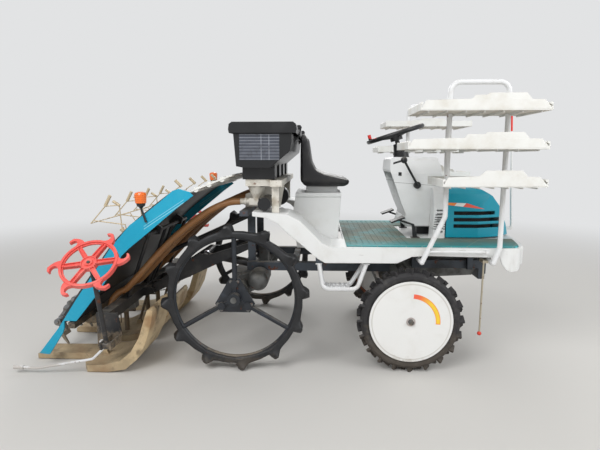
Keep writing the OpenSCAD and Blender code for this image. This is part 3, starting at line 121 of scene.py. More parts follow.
class Finish(Workbench):
    """Finish of a surface: a base colour, and the coats, wear and dirt that lie on it."""

    def __init__(self, name, colour, roughness=0.5, metallic=0.0, edge=0.0015, **fixed):
        self.material = bpy.data.materials.new(name)
        self.material.use_nodes = True
        super().__init__(self.material.node_tree)
        self.shader = self.tree.nodes["Principled BSDF"]
        self.place = self.node("ShaderNodeTexCoord", out="Object")
        parts = self.node("ShaderNodeSeparateXYZ", {}, {0: self.place}).socket.node
        self.x, self.y, self.z = (Ink(self, parts.outputs[i]) for i in range(3))
        normal = self.node("ShaderNodeNewGeometry", out="Normal")
        facing = self.node("ShaderNodeSeparateXYZ", {}, {0: normal}).socket.node
        self.upward = Ink(self, facing.outputs[2])
        self.colour, self.roughness, self.metallic = colour, roughness, metallic
        self.normal = self.node("ShaderNodeBevel", {"samples": 4}, {"Radius": edge}) if edge else None
        for name, value in fixed.items():
            self.shader.inputs[name].default_value = value
        self.settle()

    def settle(self):
        """Hands what the coats have come to over to the surface."""
        for name, value in (("Base Color", self.colour), ("Roughness", self.roughness),
                            ("Metallic", self.metallic), ("Normal", self.normal)):
            if isinstance(value, Ink):
                self.tree.links.new(value.socket, self.shader.inputs[name])
            elif value is not None:
                self.shader.inputs[name].default_value = value

    def grain(self, scale, detail=4, stretch=None):
        """Cloudy grain from 0 to 1, with so many clouds to the metre, drawn out where stretch says so."""
        where = self.place
        if stretch:
            where = self.node("ShaderNodeVectorMath", {"operation": "MULTIPLY"}, {0: self.place, 1: stretch})
        return self.node("ShaderNodeTexNoise", {}, {"Vector": where, "Scale": scale, "Detail": detail,
                                                    "Roughness": 0.6})

    def blend(self, mask, under, over):
        """Goes from one number or colour to another as the mask goes from 0 to 1."""
        number = under.socket.type == "VALUE" if isinstance(under, Ink) else not hasattr(under, "__len__")
        if number:
            return under + (over - under) * mask
        return self.node("ShaderNodeMix", {"data_type": "RGBA"}, {0: mask, 6: under, 7: over}, out=2)

    def coat(self, mask, colour, roughness=None, metallic=None):
        """Lays a colour over what is there, as far as the mask lets it through."""
        self.colour = self.blend(mask, self.colour, colour)
        if roughness is not None:
            self.roughness = self.blend(mask, self.roughness, roughness)
        if metallic is not None and metallic != self.metallic:
            self.metallic = self.blend(mask, self.metallic, metallic)
        self.settle()
        return self

    def relief(self, height, depth):
        """Raises the surface by depth, in metres, where height is 1."""
        sockets = {"Height": height, "Distance": depth, "Strength": 1.0}
        if self.normal is not None:
            sockets["Normal"] = self.normal
        self.normal = self.node("ShaderNodeBump", {}, sockets)
        self.settle()
        return self

    def mud(self, reach, amount=1.0):
        """Dried paddy mud, which is thick at the ground and ends in splashes at the height it reaches."""
        splash = self.grain(11, 5) + self.grain(60, 3) * 0.4
        low = self.z.between(reach, 0.0)
        mask = (splash + low * 0.75).between(1.05, 1.32) * amount
        self.coat(mask, MUD, 0.92, 0.0)
        return self.relief(mask * self.grain(160, 3), 0.0012)

    def dust(self, amount=0.6, colour=DUST):
        """Dust that has settled on what faces up."""
        mask = self.upward.between(0.2, 1.0) * self.grain(14, 4).between(0.32, 0.72) * amount
        return self.coat(mask, colour, 0.85)

    def grime(self, colour, scale=6, low=0.5, high=0.75, amount=0.5, stretch=None):
        """Blotches and streaks of another colour."""
        return self.coat(self.grain(scale, 5, stretch).between(low, high) * amount, colour)

    def rust(self, low=0.62, high=0.68, amount=1.0, scale=24):
        """Patches where rust has come through."""
        mask = self.grain(scale, 6).between(low, high) * amount
        self.coat(mask, RUST, 0.85, 0.0)
        self.coat(self.grain(scale * 4, 3).between(0.5, 0.65) * mask, DARK_RUST)
        return self.relief(mask * self.grain(300, 2), 0.0006)


def dress(finish, slot, *nodes):
    """Gives nodes a finish. The slot argument, which names the machine's paint list entry, is not used."""
    for name in nodes:
        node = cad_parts[name]
        node.data.materials.clear()
        node.data.materials.append(finish.material)
        for face in node.data.polygons:
            face.material_index = 0


cast_metal = Finish("cast_metal", shade(112, 113, 112), 0.55, 0.55)
cast_metal.grime(shade(66, 64, 60), 9, 0.4, 0.65, 0.8).relief(cast_metal.grain(420, 2), 0.0005)
cast_metal.rust(0.63, 0.7, 0.7).mud(0.62, 0.85).dust(0.5)
dress(cast_metal, "cast_metal", "front_case", "rear_case", "knuckle_right", "knuckle_left", "planting_cases")

# Ladder frame of square steel tube with its cross members, outriggers and the hitch in front.
# It is welded, painted dark grey and chipped to rust in patches, and mud has dried on its lower parts.
frame_paint = Finish("frame_paint", shade(74, 80, 88), 0.48, 0.3)
frame_paint.grime(shade(42, 44, 46), 7, 0.42, 0.7, 0.8).rust(0.6, 0.66, 0.85, 18).mud(0.6, 0.6).dust(0.6)
dress(frame_paint, "grey_steel", "main_frame", "pitman_arm", "track_rod")

# Engine: one plain block of cast metal under black paint, bolted down on the frame below the bonnet.
# Oil and dust have settled on it.
engine_paint = Finish("engine_paint", shade(38, 39, 41), 0.5, 0.2)
engine_paint.grime(shade(70, 66, 60), 12, 0.5, 0.7, 0.6).dust(0.7)
dress(engine_paint, "black_steel", "engine")

# Rear wheels: rims and spokes of black painted steel tube, and rubber sleeves pushed over the rim whose
# paddles dig into the paddy. The paint is worn grey in patches, and a little mud has dried low down.
wheel_paint = Finish("wheel_paint", shade(34, 38, 44), 0.36, 0.1)
wheel_paint.grime(shade(60, 66, 76), 10, 0.5, 0.75, 0.7).rust(0.68, 0.72, 0.6).mud(0.34, 0.45).dust(0.35)
dress(wheel_paint, "black_steel", "rear_wheel_right", "rear_wheel_left")

rear_rubber = Finish("rear_rubber", shade(24, 25, 28), 0.45, edge=0.003)
rear_rubber.grime(shade(46, 46, 48), 20, 0.45, 0.7, 0.6).relief(rear_rubber.grain(500, 2), 0.0004)
rear_rubber.mud(0.2, 0.14)
SIDES = ((-1, "right"), (1, "left"))
SLEEVES = 12
REAR_AXLE = Vector((-0.258, 0.6, 0.425))
TUBE_HALF_WIDTH = 0.024
PADDLE_HALF_WIDTH = 0.044
PADDLE_FOOT = 0.375
PADDLE_FLARE = 0.03
# Each row of a sleeve: turn from the paddle's steep face in degrees, inner radius, outer radius, half width,
# and how far the V of the paddle sweeps back in degrees.
SLEEVE_STATIONS = [(-0.6, 0.352, 0.384, 0.022, 2.5), (0.2, 0.347, 0.404, 0.034, 3.2),
                   (1.2, 0.345, 0.4225, 0.044, 4), (3.2, 0.344, 0.4235, 0.044, 4),
                   (6.5, 0.344, 0.409, 0.038, 3), (10, 0.344, 0.394, 0.030, 1.5),
                   (14, 0.344, 0.388, 0.025, 0.5), (22, 0.345, 0.386, 0.024, 0),
                   (30, 0.347, 0.383, 0.022, 0), (32, 0.352, 0.378, 0.018, 0)]


def set_out(name, data):
    """Sets out a mesh, a lamp or a camera in the scene."""
    made = bpy.data.objects.new(name, data)
    bpy.context.scene.collection.objects.link(made)
    return made


def around(count):
    """Angles that share out one full turn."""
    return [math.tau * i / count for i in range(count)]


def loft(name, rings, finish, ends=True, crease=38):
    """Skin over closed rings of points, whose ends are shut unless the last ring meets the first."""
    work = bmesh.new()
    rows = [[work.verts.new(p) for p in ring] for ring in rings]
    for low, high in zip(rows, rows[1:]):
        for i in range(len(low)):
            j = (i + 1) % len(low)
            work.faces.new((low[i], low[j], high[j], high[i]))
    if ends:
        work.faces.new(rows[0])
        work.faces.new(rows[-1])
    bmesh.ops.remove_doubles(work, verts=work.verts, dist=1e-6)
    bmesh.ops.recalc_face_normals(work, faces=work.faces)
    for face in work.faces:
        face.smooth = True
    mesh = bpy.data.meshes.new(name)
    work.to_mesh(mesh)
    work.free()
    mesh.set_sharp_from_angle(angle=math.radians(crease))
    mesh.materials.append(finish.material)
    return set_out(name, mesh)


def sleeve_ring(turn, inner, outer, half, sweep):
    """Section of a sleeve, square to the rim: a rounded tube that is wider where it rises to the paddle."""
    ring = []
    for bearing in around(20):
        out, up = (math.copysign(abs(f) ** 0.5, f) for f in (math.cos(bearing), math.sin(bearing)))
        radius = (inner + outer) / 2 + (outer - inner) / 2 * up
        spread = min(1.0, max(0.0, (radius - PADDLE_FOOT) / PADDLE_FLARE))
        y = out * (TUBE_HALF_WIDTH + (half - TUBE_HALF_WIDTH) * spread)
        angle = math.radians(turn + sweep * abs(y) / PADDLE_HALF_WIDTH)
        ring.append((radius * math.cos(angle), y, radius * math.sin(angle)))
    return ring


def geometry_group(name, **inputs):
    """Group of geometry nodes with its sockets: its workbench, and the values that come in."""
    group = bpy.data.node_groups.new(name, "GeometryNodeTree")
    for label, kind in inputs.items():
        group.interface.new_socket(label, in_out="INPUT", socket_type=f"NodeSocket{kind}")
    group.interface.new_socket("Result", in_out="OUTPUT", socket_type="NodeSocketGeometry")
    bench = Workbench(group)
    given = group.nodes.new("NodeGroupInput")
    return bench, [Ink(bench, given.outputs[i]) for i in range(len(inputs))]


def copies_on_points(bench, points, piece, rotation, finish):
    """Ends a group: a real copy of the piece on every point, in its finish."""
    placed = bench.node("GeometryNodeInstanceOnPoints", {},
                        {"Points": points, "Instance": piece, "Rotation": rotation})
    real = bench.node("GeometryNodeRealizeInstances", {}, {0: placed})
    painted = bench.node("GeometryNodeSetMaterial", {}, {"Geometry": real, "Material": finish})
    bench.tree.links.new(painted.socket, bench.tree.nodes.new("NodeGroupOutput").inputs[0])


def run_group(made, group, **values):
    """Lets a group of nodes work on a piece, with a value for each of its sockets."""
    work = made.modifiers.new(group.name, "NODES")
    work.node_group = group
    sockets = {s.name: s.identifier for s in group.interface.items_tree if s.in_out == "INPUT"}
    for label, value in values.items():
        work[sockets[label]] = value


def bake(made, body):
    """Turns a piece and its modifiers into a plain mesh that rides on a body."""
    look = made.evaluated_get(bpy.context.evaluated_depsgraph_get())
    mesh = bpy.data.meshes.new_from_object(look)
    mesh.name = made.name
    piece = set_out("baked", mesh)
    name = made.name
    bpy.data.objects.remove(made)
    piece.name = name
    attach(piece, body)
    return piece


band_bench, (sleeve, copies, axle, rubber) = geometry_group(
    "wheel_band", Sleeve="Geometry", Copies="Int", Axle="Vector", Rubber="Material")
axle_points = band_bench.node("GeometryNodePoints", {}, {"Count": copies, "Position": axle})
turn = band_bench.node("GeometryNodeInputIndex") * (math.tau / SLEEVES)
spin = band_bench.node("FunctionNodeAxisAngleToRotation", {}, {"Axis": (0, 1, 0), "Angle": turn})
copies_on_points(band_bench, axle_points, sleeve, spin, rubber)

for side, name in SIDES:
    band = loft(f"paddle_band_{name}", [sleeve_ring(*row) for row in SLEEVE_STATIONS], rear_rubber)
    run_group(band, band_bench.tree, Copies=SLEEVES, Axle=(REAR_AXLE.x, side * REAR_AXLE.y, REAR_AXLE.z),
              Rubber=rear_rubber.material)
    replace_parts(bake(band, f"rear_wheel_{name}"), f"rear_tyre_{name}")

# Front tyres: narrow farm tyres of black rubber with a bar tread, moulded in one piece and seated on the
# rims. Only a little dried mud clings to them.
tyre_rubber = Finish("tyre_rubber", shade(38, 37, 39), 0.7, edge=0.003)
tyre_rubber.grime(shade(72, 70, 68), 20, 0.45, 0.7, 0.6).relief(tyre_rubber.grain(500, 2), 0.0004)
tyre_rubber.mud(0.5, 0.16)
dress(tyre_rubber, "tyre_rubber", "front_tyre_right", "front_tyre_left")

# Front wheels: white dished discs of pressed steel. An arc of reflective tape, which fades from red to
# yellow, is stuck on each disc, the axle nut is rusty, and the inner face of the rim has rusted. Hexagon
# bolts hold the rear wheels' hubs.
FRONT_AXLE_X, FRONT_AXLE_Z = 0.732, 0.3
DISC_FACE = 0.606
NUT_SEAT = 0.6112
REAR_HUB_FACE = 0.606
HUB_BOLT_RADIUS = 0.1


def disc_finish(name, side):
    """White enamel on the outer side of a wheel, with its tape, and rust on the inner side."""
    disc = Finish(name, shade(232, 232, 230), 0.3, 0.0, edge=0.002)
    disc.grime(shade(205, 200, 190), 5, 0.5, 0.8, 0.6)
    across, up = disc.x - FRONT_AXLE_X, disc.z - FRONT_AXLE_Z
    radius = (across * across + up * up).by("SQRT")
    angle = up.by("ARCTAN2", across) * (180 / math.pi)
    outside = (disc.y * side).between(DISC_FACE, DISC_FACE + 0.002)
    inner = (disc.y * side).between(DISC_FACE, DISC_FACE - 0.004)
    disc.coat(inner, RUST, 0.8)
    disc.coat(inner * disc.grain(16, 5).between(0.5, 0.7) * 0.8, DARK_RUST)
    tape = radius.inside(0.1365, 0.1625, 0.0008) * angle.inside(-4, 86, 0.8) * outside
    disc.coat(tape, disc.blend(angle.between(58, 84), shade(240, 150, 60), shade(236, 84, 62)), 0.35)
    rim = radius.inside(0.1405, 0.1585, 0.0008) * angle.inside(-2, 84, 0.8) * outside
    disc.coat(rim, disc.blend(angle.between(40, 78), shade(246, 206, 60), shade(240, 104, 70)))
    disc.coat(outside * radius.between(0.03, 0.02), RUST, 0.8)
    # A faint ring near the disc's rim is a painted shadow.
    disc.coat(outside * radius.inside(0.215, 0.222, 0.002) * 0.35, shade(150, 140, 124))
    disc.mud(0.2, 0.45)
    return disc


disc_right = disc_finish("disc_right", -1)
disc_left = disc_finish("disc_left", 1)
dress(disc_right, "white_paint", "front_wheel_right")
dress(disc_left, "white_paint", "front_wheel_left")

bolt_bench, (seats, direction, head_radius, head_height, head_finish) = geometry_group(
    "bolt_heads", Seats="Geometry", Direction="Vector", Radius="Float", Height="Float", Finish="Material")
head = bolt_bench.node("GeometryNodeMeshCone", {}, {"Vertices": 6, "Radius Top": head_radius,
                                                    "Radius Bottom": head_radius, "Depth": head_height})
aim = bolt_bench.node("FunctionNodeAlignRotationToVector", {"axis": "Z"}, {"Vector": direction})
copies_on_points(bolt_bench, seats, head, aim, head_finish)


def bolt_heads(name, body, side, finish, size, height, places):
    """Hexagon heads on the outer side of a wheel, at the given points."""
    points = bpy.data.meshes.new(name)
    points.from_pydata(places, [], [])
    made = set_out(name, points)
    run_group(made, bolt_bench.tree, Direction=(0, side, 0), Radius=size / 2, Height=height,
              Finish=finish.material)
    bake(made, body)


rusty_nut = Finish("rusty_nut", shade(96, 62, 42), 0.75, 0.3, edge=0)
rusty_nut.grime(DARK_RUST, 120, 0.4, 0.6, 0.8)
dull_bolt = Finish("dull_bolt", shade(120, 120, 118), 0.45, 0.8, edge=0)
dull_bolt.grime(RUST, 90, 0.5, 0.7, 0.6)
for side, name in SIDES:
    nut = (FRONT_AXLE_X, side * NUT_SEAT, FRONT_AXLE_Z)
    bolt_heads(f"axle_nut_{name}", f"front_wheel_{name}", side, rusty_nut,
               size=0.03, height=0.007, places=[nut])
    hub = Vector((REAR_AXLE.x, side * REAR_HUB_FACE, REAR_AXLE.z))
    angles = [math.radians(lobe + turn) for lobe in (90, 210, 330) for turn in (-11, 11)]
    bolts = [hub + Vector((math.cos(a) * HUB_BOLT_RADIUS, side * 0.001, math.sin(a) * HUB_BOLT_RADIUS))
             for a in angles]
    bolt_heads(f"hub_bolts_{name}", f"rear_wheel_{name}", side, dull_bolt,
               size=0.02, height=0.012, places=bolts)

# Deck and fenders: one white moulding with a rolled skirt. It is scuffed grey where boots have gone
# over it, and dirt has run down from the mat.
white_moulding = Finish("white_moulding", shade(226, 227, 226), 0.42, edge=0.006)
white_moulding.grime(shade(196, 192, 182), 4, 0.5, 0.8, 0.5)
white_moulding.grime(shade(150, 142, 128), 9, 0.6, 0.82, 0.35, (1, 1, 0.25))
white_moulding.relief(white_moulding.grain(900, 1), 0.0001)
scuffs = white_moulding.grain(7, 6, (1, 6, 6)).between(0.62, 0.7) * white_moulding.z.between(0.78, 0.7)
white_moulding.coat(scuffs * 0.35, shade(120, 112, 100))
white_moulding.mud(0.3, 0.6)
dress(white_moulding, "white_plastic", "deck_shell")

# Rubber mat on the deck: faded teal and brightest along its outer edge, where no boots go. A few raised
# ribs cross it in wide diamonds, and the middle is brown with dust.
deck_rubber = Finish("deck_rubber", shade(24, 136, 140), 0.6, edge=0.002)
deck_rubber.grime(shade(70, 124, 120), 5, 0.4, 0.7, 0.8)
sideways = deck_rubber.y.by("ABSOLUTE")
trodden = sideways.between(0.5, 0.32) * (deck_rubber.grain(6, 5) + 0.12).between(0.4, 0.66)
deck_rubber.coat(trodden * 0.75, shade(118, 112, 96), 0.8)
slants = [deck_rubber.x + deck_rubber.y * way * 0.62 for way in (1, -1)]
one_way, other_way = (slant.saw(0.25).inside(0.485, 0.515, 0.008) for slant in slants)
ribs = one_way.by("MAXIMUM", other_way)
deck_rubber.coat(ribs * 0.4, shade(150, 166, 156))
deck_rubber.coat(sideways.inside(0.518, 0.527, 0.001), shade(60, 190, 200))
deck_rubber.relief(ribs, 0.002).dust(0.2, shade(140, 134, 118))
dress(deck_rubber, "mat_rubber", "deck_mat")

# Steps, racks and guards: bent and welded steel tube under white enamel, bolted to the frame and to the
# planter. The enamel has chipped to rust in spots, and mud has dried on what hangs low.
enamel = Finish("enamel", shade(226, 227, 228), 0.3)
enamel.grime(shade(190, 186, 176), 12, 0.5, 0.8, 0.5).relief(enamel.grain(120, 1), 0.0002)
enamel.rust(0.66, 0.7, 0.7, 30).mud(0.16, 0.5)
dress(enamel, "white_paint", "side_steps", "rack_frames", "planter_guards")

# Seat base: a tall white moulding over the tank, screwed down on the deck. It is of the same plastic as
# the deck, and as scuffed.
dress(white_moulding, "white_plastic", "seat_base")

# Seat: one bucket of foam under black vinyl, whose skirt is tucked under a hard shell. Its cover is
# puffed out a little between the seams.
seat_vinyl = Finish("seat_vinyl", shade(38, 38, 41), 0.42, edge=0)
seat_vinyl.grime(shade(66, 64, 62), 8, 0.45, 0.75, 0.5)
pebbles = seat_vinyl.node("ShaderNodeTexVoronoi", {}, {"Vector": seat_vinyl.place, "Scale": 420})
seat_vinyl.relief(pebbles, 0.0003).dust(0.3)
BLOWING = 20


def cushion(node, name, voxel, shrink, cap):
    """Padded copy of a node: remeshed, blown up from inside as foam fills a cover, and smoothed."""
    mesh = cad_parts[node].data.copy()
    work = bmesh.new()
    work.from_mesh(mesh)
    bmesh.ops.remove_doubles(work, verts=work.verts, dist=1e-5)
    bmesh.ops.recalc_face_normals(work, faces=work.faces)
    work.to_mesh(mesh)
    work.free()
    mesh.materials.clear()
    pad = set_out(name, mesh)
    remesh = pad.modifiers.new("skin", "REMESH")
    remesh.mode, remesh.voxel_size = "VOXEL", voxel
    drawn = pad.modifiers.new("drawn", "SMOOTH")
    drawn.factor, drawn.iterations = 0.5, 14
    pad.data = bpy.data.meshes.new_from_object(pad.evaluated_get(bpy.context.evaluated_depsgraph_get()))
    pad.modifiers.clear()
    pad.data.update()
    rest = []
    for v in pad.data.vertices:
        v.co -= v.normal * shrink
        rest.append(v.co.copy())
    puff = pad.modifiers.new("foam", "CLOTH")
    puff.settings.use_pressure = True
    puff.settings.uniform_pressure_force = 4
    puff.settings.effector_weights.gravity = 0
    puff.settings.quality = 5
    for moment in range(BLOWING):
        bpy.context.scene.frame_set(moment + 1)
    blown = bpy.data.meshes.new_from_object(pad.evaluated_get(bpy.context.evaluated_depsgraph_get()))
    moved = [v.co.copy() for v in blown.vertices]
    pad.modifiers.clear()
    bpy.context.scene.frame_set(1)
    for v, was, now in zip(pad.data.vertices, rest, moved):
        go = now - was
        v.co = was + go * min(1.0, cap / max(go.length, 1e-9))
    for face in pad.data.polygons:
        face.use_smooth = True
    return pad


seat = cushion("seat", "seat_cushion", voxel=0.008, shrink=0.006, cap=0.006)
seat.data.materials.append(seat_vinyl.material)
fine = seat.modifiers.new("fine", "SUBSURF")
fine.levels = fine.render_levels = 1
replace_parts(bake(seat, "chassis"), "seat")

# Cowl round the steering column: a white moulding that flares to the dashboard and is screwed to the deck.
# A seam runs round it below the dashboard, each side has two slanted columns of louvres that let the
# engine's heat out, whose slots are painted dark as painted shade, and a black lever plate and a switch sit
# on the right side.
cowl_white = Finish("cowl_white", shade(228, 229, 229), 0.38, edge=0.006)
cowl_white.grime(shade(200, 196, 188), 4, 0.5, 0.8, 0.5)
cowl_white.grime(shade(160, 152, 138), 9, 0.62, 0.82, 0.35, (1, 1, 0.25)).dust(0.25)
sides = cowl_white.y.by("ABSOLUTE").between(0.15, 0.17)
lowest_louvre, louvre_pitch, louvre_count = 0.767, 0.0146, 7.0
step = (cowl_white.z - lowest_louvre) * (1 / louvre_pitch)
rows = step.between(-0.3, 0.0) * step.between(louvre_count, louvre_count - 0.3)
slots = step.by("FRACT").inside(0.3, 0.72, 0.06) * rows
leaning = cowl_white.x - cowl_white.z * 0.12
columns = leaning.inside(0.826, 0.868, 0.002) + leaning.inside(0.886, 0.916, 0.002)
shaded_louvres = slots * columns * sides
# The louvre slots are painted dark grey: painted shade inside the slots, which are otherwise only a 2 mm
# relief.
cowl_white.coat(shaded_louvres * 0.9, shade(60, 62, 64))
seam = (cowl_white.z + cowl_white.x * 0.08 - 1.112).inside(-0.0012, 0.0012, 0.0008)
cowl_white.coat(seam * 0.8, shade(110, 108, 104))
plate_height = cowl_white.z - cowl_white.x * 0.3 - 0.971
lever_plate = plate_height.inside(-0.006, 0.006) * cowl_white.x.inside(0.678, 0.742)
switch = cowl_white.x.inside(0.71, 0.73) * cowl_white.z.inside(1.098, 1.12)
black_marks = (lever_plate + switch) * cowl_white.y.between(-0.1, -0.12)
cowl_white.coat(black_marks, shade(30, 31, 33), 0.35)
cowl_white.relief(1 - shaded_louvres, 0.002).relief(black_marks, 0.002)
dress(cowl_white, "white_plastic", "dash_cowl")

# Steering column, boot, levers and pedals: black plastic over steel, fixed through the cowl and the deck.
# The steering wheel has a moulded grip of black rubber with a red knob on its rim.
black_plastic = Finish("black_plastic", shade(30, 31, 33), 0.4)
black_plastic.grime(shade(58, 58, 60), 9, 0.5, 0.78, 0.5)
black_plastic.relief(black_plastic.grain(700, 2), 0.0002).dust(0.45)
dress(black_plastic, "black_plastic", "steering_column", "controls")
wheel_grip = Finish("wheel_grip", shade(26, 27, 29), 0.35)
wheel_grip.relief(wheel_grip.grain(700, 2), 0.0002).dust(0.3)
knob_top = max(v.co.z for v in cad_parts["steering_wheel"].data.vertices if v.co.x < 0.56)
knob = wheel_grip.z.between(knob_top - 0.03, knob_top - 0.026) * wheel_grip.x.between(0.575, 0.57)
wheel_grip.coat(knob, shade(214, 48, 40), 0.3)
dress(wheel_grip, "black_plastic", "steering_wheel")

# Bonnet: teal moulding over the engine with three slots on each side, hinged along its rear edge. A stripe
# that runs from white to orange red tapers forwards above the slots.
bonnet_paint = Finish("bonnet_paint", shade(10, 150, 174), 0.28, edge=0.008)
bonnet_paint.grime(shade(34, 162, 182), 5, 0.45, 0.75, 0.5).grime(shade(86, 150, 158), 11, 0.6, 0.8, 0.3)
stripe_rear, stripe_foot, stripe_top, stripe_bend, stripe_middle = 1.002, 0.922, 0.938, 0.974, 0.93
along = bonnet_paint.x - stripe_rear
lower = bonnet_paint.z + along * 0.1097 - stripe_foot
upper = stripe_top - along * 0.0328 - bonnet_paint.z
upper = upper.by("MINIMUM", stripe_bend - along * 0.3304 - bonnet_paint.z)
stripe = lower.between(0.0, 0.0015) * upper.between(0.0, 0.0015)
band = along - (bonnet_paint.z - stripe_middle) * 0.9
stripe_colour = bonnet_paint.blend(band.between(0.052, 0.054), shade(250, 140, 66), shade(240, 240, 236))
stripe_colour = bonnet_paint.blend(band.between(0.109, 0.111), stripe_colour, shade(240, 96, 76))
bonnet_paint.coat(stripe, stripe_colour, 0.3)
dress(bonnet_paint, "teal_plastic", "bonnet")

# Guide pole: a thin steel rod in white enamel with a red tip, which serves to sight along the rows. It
# stands on the bonnet and tips up with it.
pole_paint = Finish("pole_paint", shade(228, 228, 226), 0.35)
pole_paint.coat(pole_paint.z.between(1.379, 1.381), shade(222, 52, 44)).rust(0.68, 0.72, 0.5)
dress(pole_paint, "white_paint", "guide_pole")

# Trays for spare seedlings, three on each side: white plastic, each moulded in one piece and seated on the
# rack's tubes. They are greyed with dust inside, their faces that face down are painted darker brown as
# painted shade tinted with dirt, and a lip with a hump edges each outwards.
tray_plastic = Finish("tray_plastic", shade(228, 228, 224), 0.45, edge=0.003)
tray_plastic.grime(shade(186, 176, 156), 7, 0.45, 0.8, 0.45)
# Faces that face down are painted darker brown: painted shade under the trays, tinted like dirt.
tray_plastic.coat(tray_plastic.upward.between(-0.4, -0.9) * 0.6, shade(176, 160, 136)).dust(0.4)
dress(tray_plastic, "white_plastic", "rack_trays")


def wall(name, outline, low, high, finish, body):
    """Flat wall between two values of y, whose outline in x and z is given."""
    bake(loft(name, [[(x, y, z) for x, z in outline] for y in (low, high)], finish), body)


LIP_INSIDE, LIP_OUTSIDE = 0.7605, 0.7636
# Each row, from the lowest tray up: rear end, front end, and the height that its lip stands on.
TRAYS = ((0.833, 1.351, 1.064), (0.653, 1.346, 1.252), (0.709, 1.346, 1.44))
for side, name in SIDES:
    for count, (rear, front, level) in enumerate(TRAYS):
        hump = (rear + front) / 2
        crest = [(rear + 0.002, 0.004), (rear + 0.026, 0.05), (hump - 0.07, 0.056), (hump - 0.055, 0.074),
                 (hump + 0.1, 0.074), (hump + 0.13, 0.055), (front - 0.04, 0.052), (front - 0.002, 0.006)]
        wall(f"tray_lip_{name}_{count + 1}", [(x, level + z) for x, z in crest], side * LIP_INSIDE,
             side * LIP_OUTSIDE, tray_plastic, "chassis")

# Side rods: steel rods that hang from blocks on the deck's front corners, each with a red weight at its
# lower end. The bare steel has gone brown, with rust in patches.
rod_steel = Finish("rod_steel", shade(186, 176, 156), 0.4, 0.6)
rod_steel.coat(rod_steel.z.between(0.226, 0.223), shade(214, 60, 40), 0.4, 0.0).rust(0.62, 0.68, 0.6)
dress(rod_steel, "bare_steel", "side_rods")

# Fertiliser hopper, its hinged lid and the air duct: black plastic mouldings fixed on the rear frame, shiny
# and a little dusty. A grey plate with ruled lines is riveted on the hopper's right side.
hopper_plastic = Finish("hopper_plastic", shade(24, 25, 27), 0.3, edge=0.004)
hopper_plastic.grime(shade(52, 52, 54), 6, 0.5, 0.8, 0.5)
hopper_plastic.relief(hopper_plastic.grain(800, 1), 0.0001).dust(0.3)
dress(hopper_plastic, "black_plastic", "hopper", "hopper_lid", "air_duct")
plate_grey = Finish("plate_grey", shade(70, 74, 84), 0.35, edge=0)
ruled = plate_grey.z.saw(0.0165).inside(0.86, 0.94, 0.02)
columns = plate_grey.x.inside(-0.103, -0.101, 0.0004) + plate_grey.x.inside(-0.06, -0.058, 0.0004)
plate_grey.coat(ruled.by("MAXIMUM", columns) * 0.85, shade(186, 190, 198))
plate_grey.grime(shade(50, 50, 54), 30, 0.5, 0.7, 0.5)
plate_face, plate_back = -0.5815, -0.5803
plate_outline = [(-0.221, 1.198), (-0.003, 1.198), (-0.003, 1.338), (-0.221, 1.338)]
wall("hopper_plate", plate_outline, plate_face, plate_back, plate_grey, "chassis")

# Feed units: four pale plastic mouldings with funnels, bolted in a row under the hopper. They meter the
# fertiliser into the hoses, and brown dust and a little rust mark them.
feed_white = Finish("feed_white", shade(214, 210, 200), 0.45)
feed_white.grime(shade(150, 138, 118), 16, 0.45, 0.72, 0.8).rust(0.66, 0.71, 0.7, 40).dust(0.4)
dress(feed_white, "white_plastic", "feed_units")

# Fertiliser hoses: four smooth tubes of brown plastic, pushed on the feed units in front and on the boots
# behind. Each is made as an upper and a lower length.
hose_plastic = Finish("hose_plastic", shade(150, 104, 62), 0.4, edge=0)
hose_plastic.grime(shade(150, 116, 80), 14, 0.45, 0.7, 0.5)
hose_plastic.grime(shade(88, 64, 44), 22, 0.6, 0.78, 0.5)
# Points of a hose's middle line in x and z, from the feed unit down to the boot.
HOSE_ROUTE = [(-0.243, 0.959), (-0.298, 0.955), (-0.357, 0.937), (-0.418, 0.908), (-0.471, 0.876),
              (-0.568, 0.805), (-0.661, 0.728), (-0.758, 0.632), (-0.852, 0.531), (-0.913, 0.466),
              (-0.963, 0.416), (-1.012, 0.392), (-1.048, 0.354), (-1.066, 0.31), (-1.07, 0.262)]
HOSE_LAST = len(HOSE_ROUTE) - 1
HOSE_MIDDLE = HOSE_LAST // 2
HOSE_STEPS = 3
HOSE_RADIUS = 0.0198
# Where each hose starts and ends in y.
HOSE_ROWS = ((-0.45, -0.41), (-0.15, -0.19), (0.15, 0.19), (0.45, 0.41))


def hose_rings(start, end, first, last):
    """Rings of one length of hose, on a smooth curve between two points of its route."""
    route = [Vector((x, start + (end - start) * (1 - math.cos(math.pi * i / HOSE_LAST)) / 2, z))
             for i, (x, z) in enumerate(HOSE_ROUTE)]
    middles = []
    for i in range(first, last):
        before, here = route[max(i - 1, 0)], route[i]
        there, after = route[i + 1], route[min(i + 2, HOSE_LAST)]
        for part in range(HOSE_STEPS if i + 1 < last else HOSE_STEPS + 1):
            t = part / HOSE_STEPS
            middles.append(0.5 * (2 * here + (there - before) * t
                                  + (2 * before - 5 * here + 4 * there - after) * t * t
                                  + (3 * here - before - 3 * there + after) * t ** 3))
    rings = []
    for i, middle in enumerate(middles):
        ahead = (middles[min(i + 1, len(middles) - 1)] - middles[max(i - 1, 0)]).normalized()
        up = ahead.cross(Vector((0, 1, 0))).normalized()
        across = up.cross(ahead)
        rings.append([middle + (up * math.sin(a) + across * math.cos(a)) * HOSE_RADIUS for a in around(16)])
    return rings


def join(name, pieces):
    """One mesh of several, in the finish of the first."""
    work = bmesh.new()
    for piece in pieces:
        work.from_mesh(piece.data)
    mesh = bpy.data.meshes.new(name)
    work.to_mesh(mesh)
    work.free()
    mesh.materials.append(pieces[0].data.materials[0])
    for piece in pieces:
        bpy.data.objects.remove(piece)
    return set_out(name, mesh)


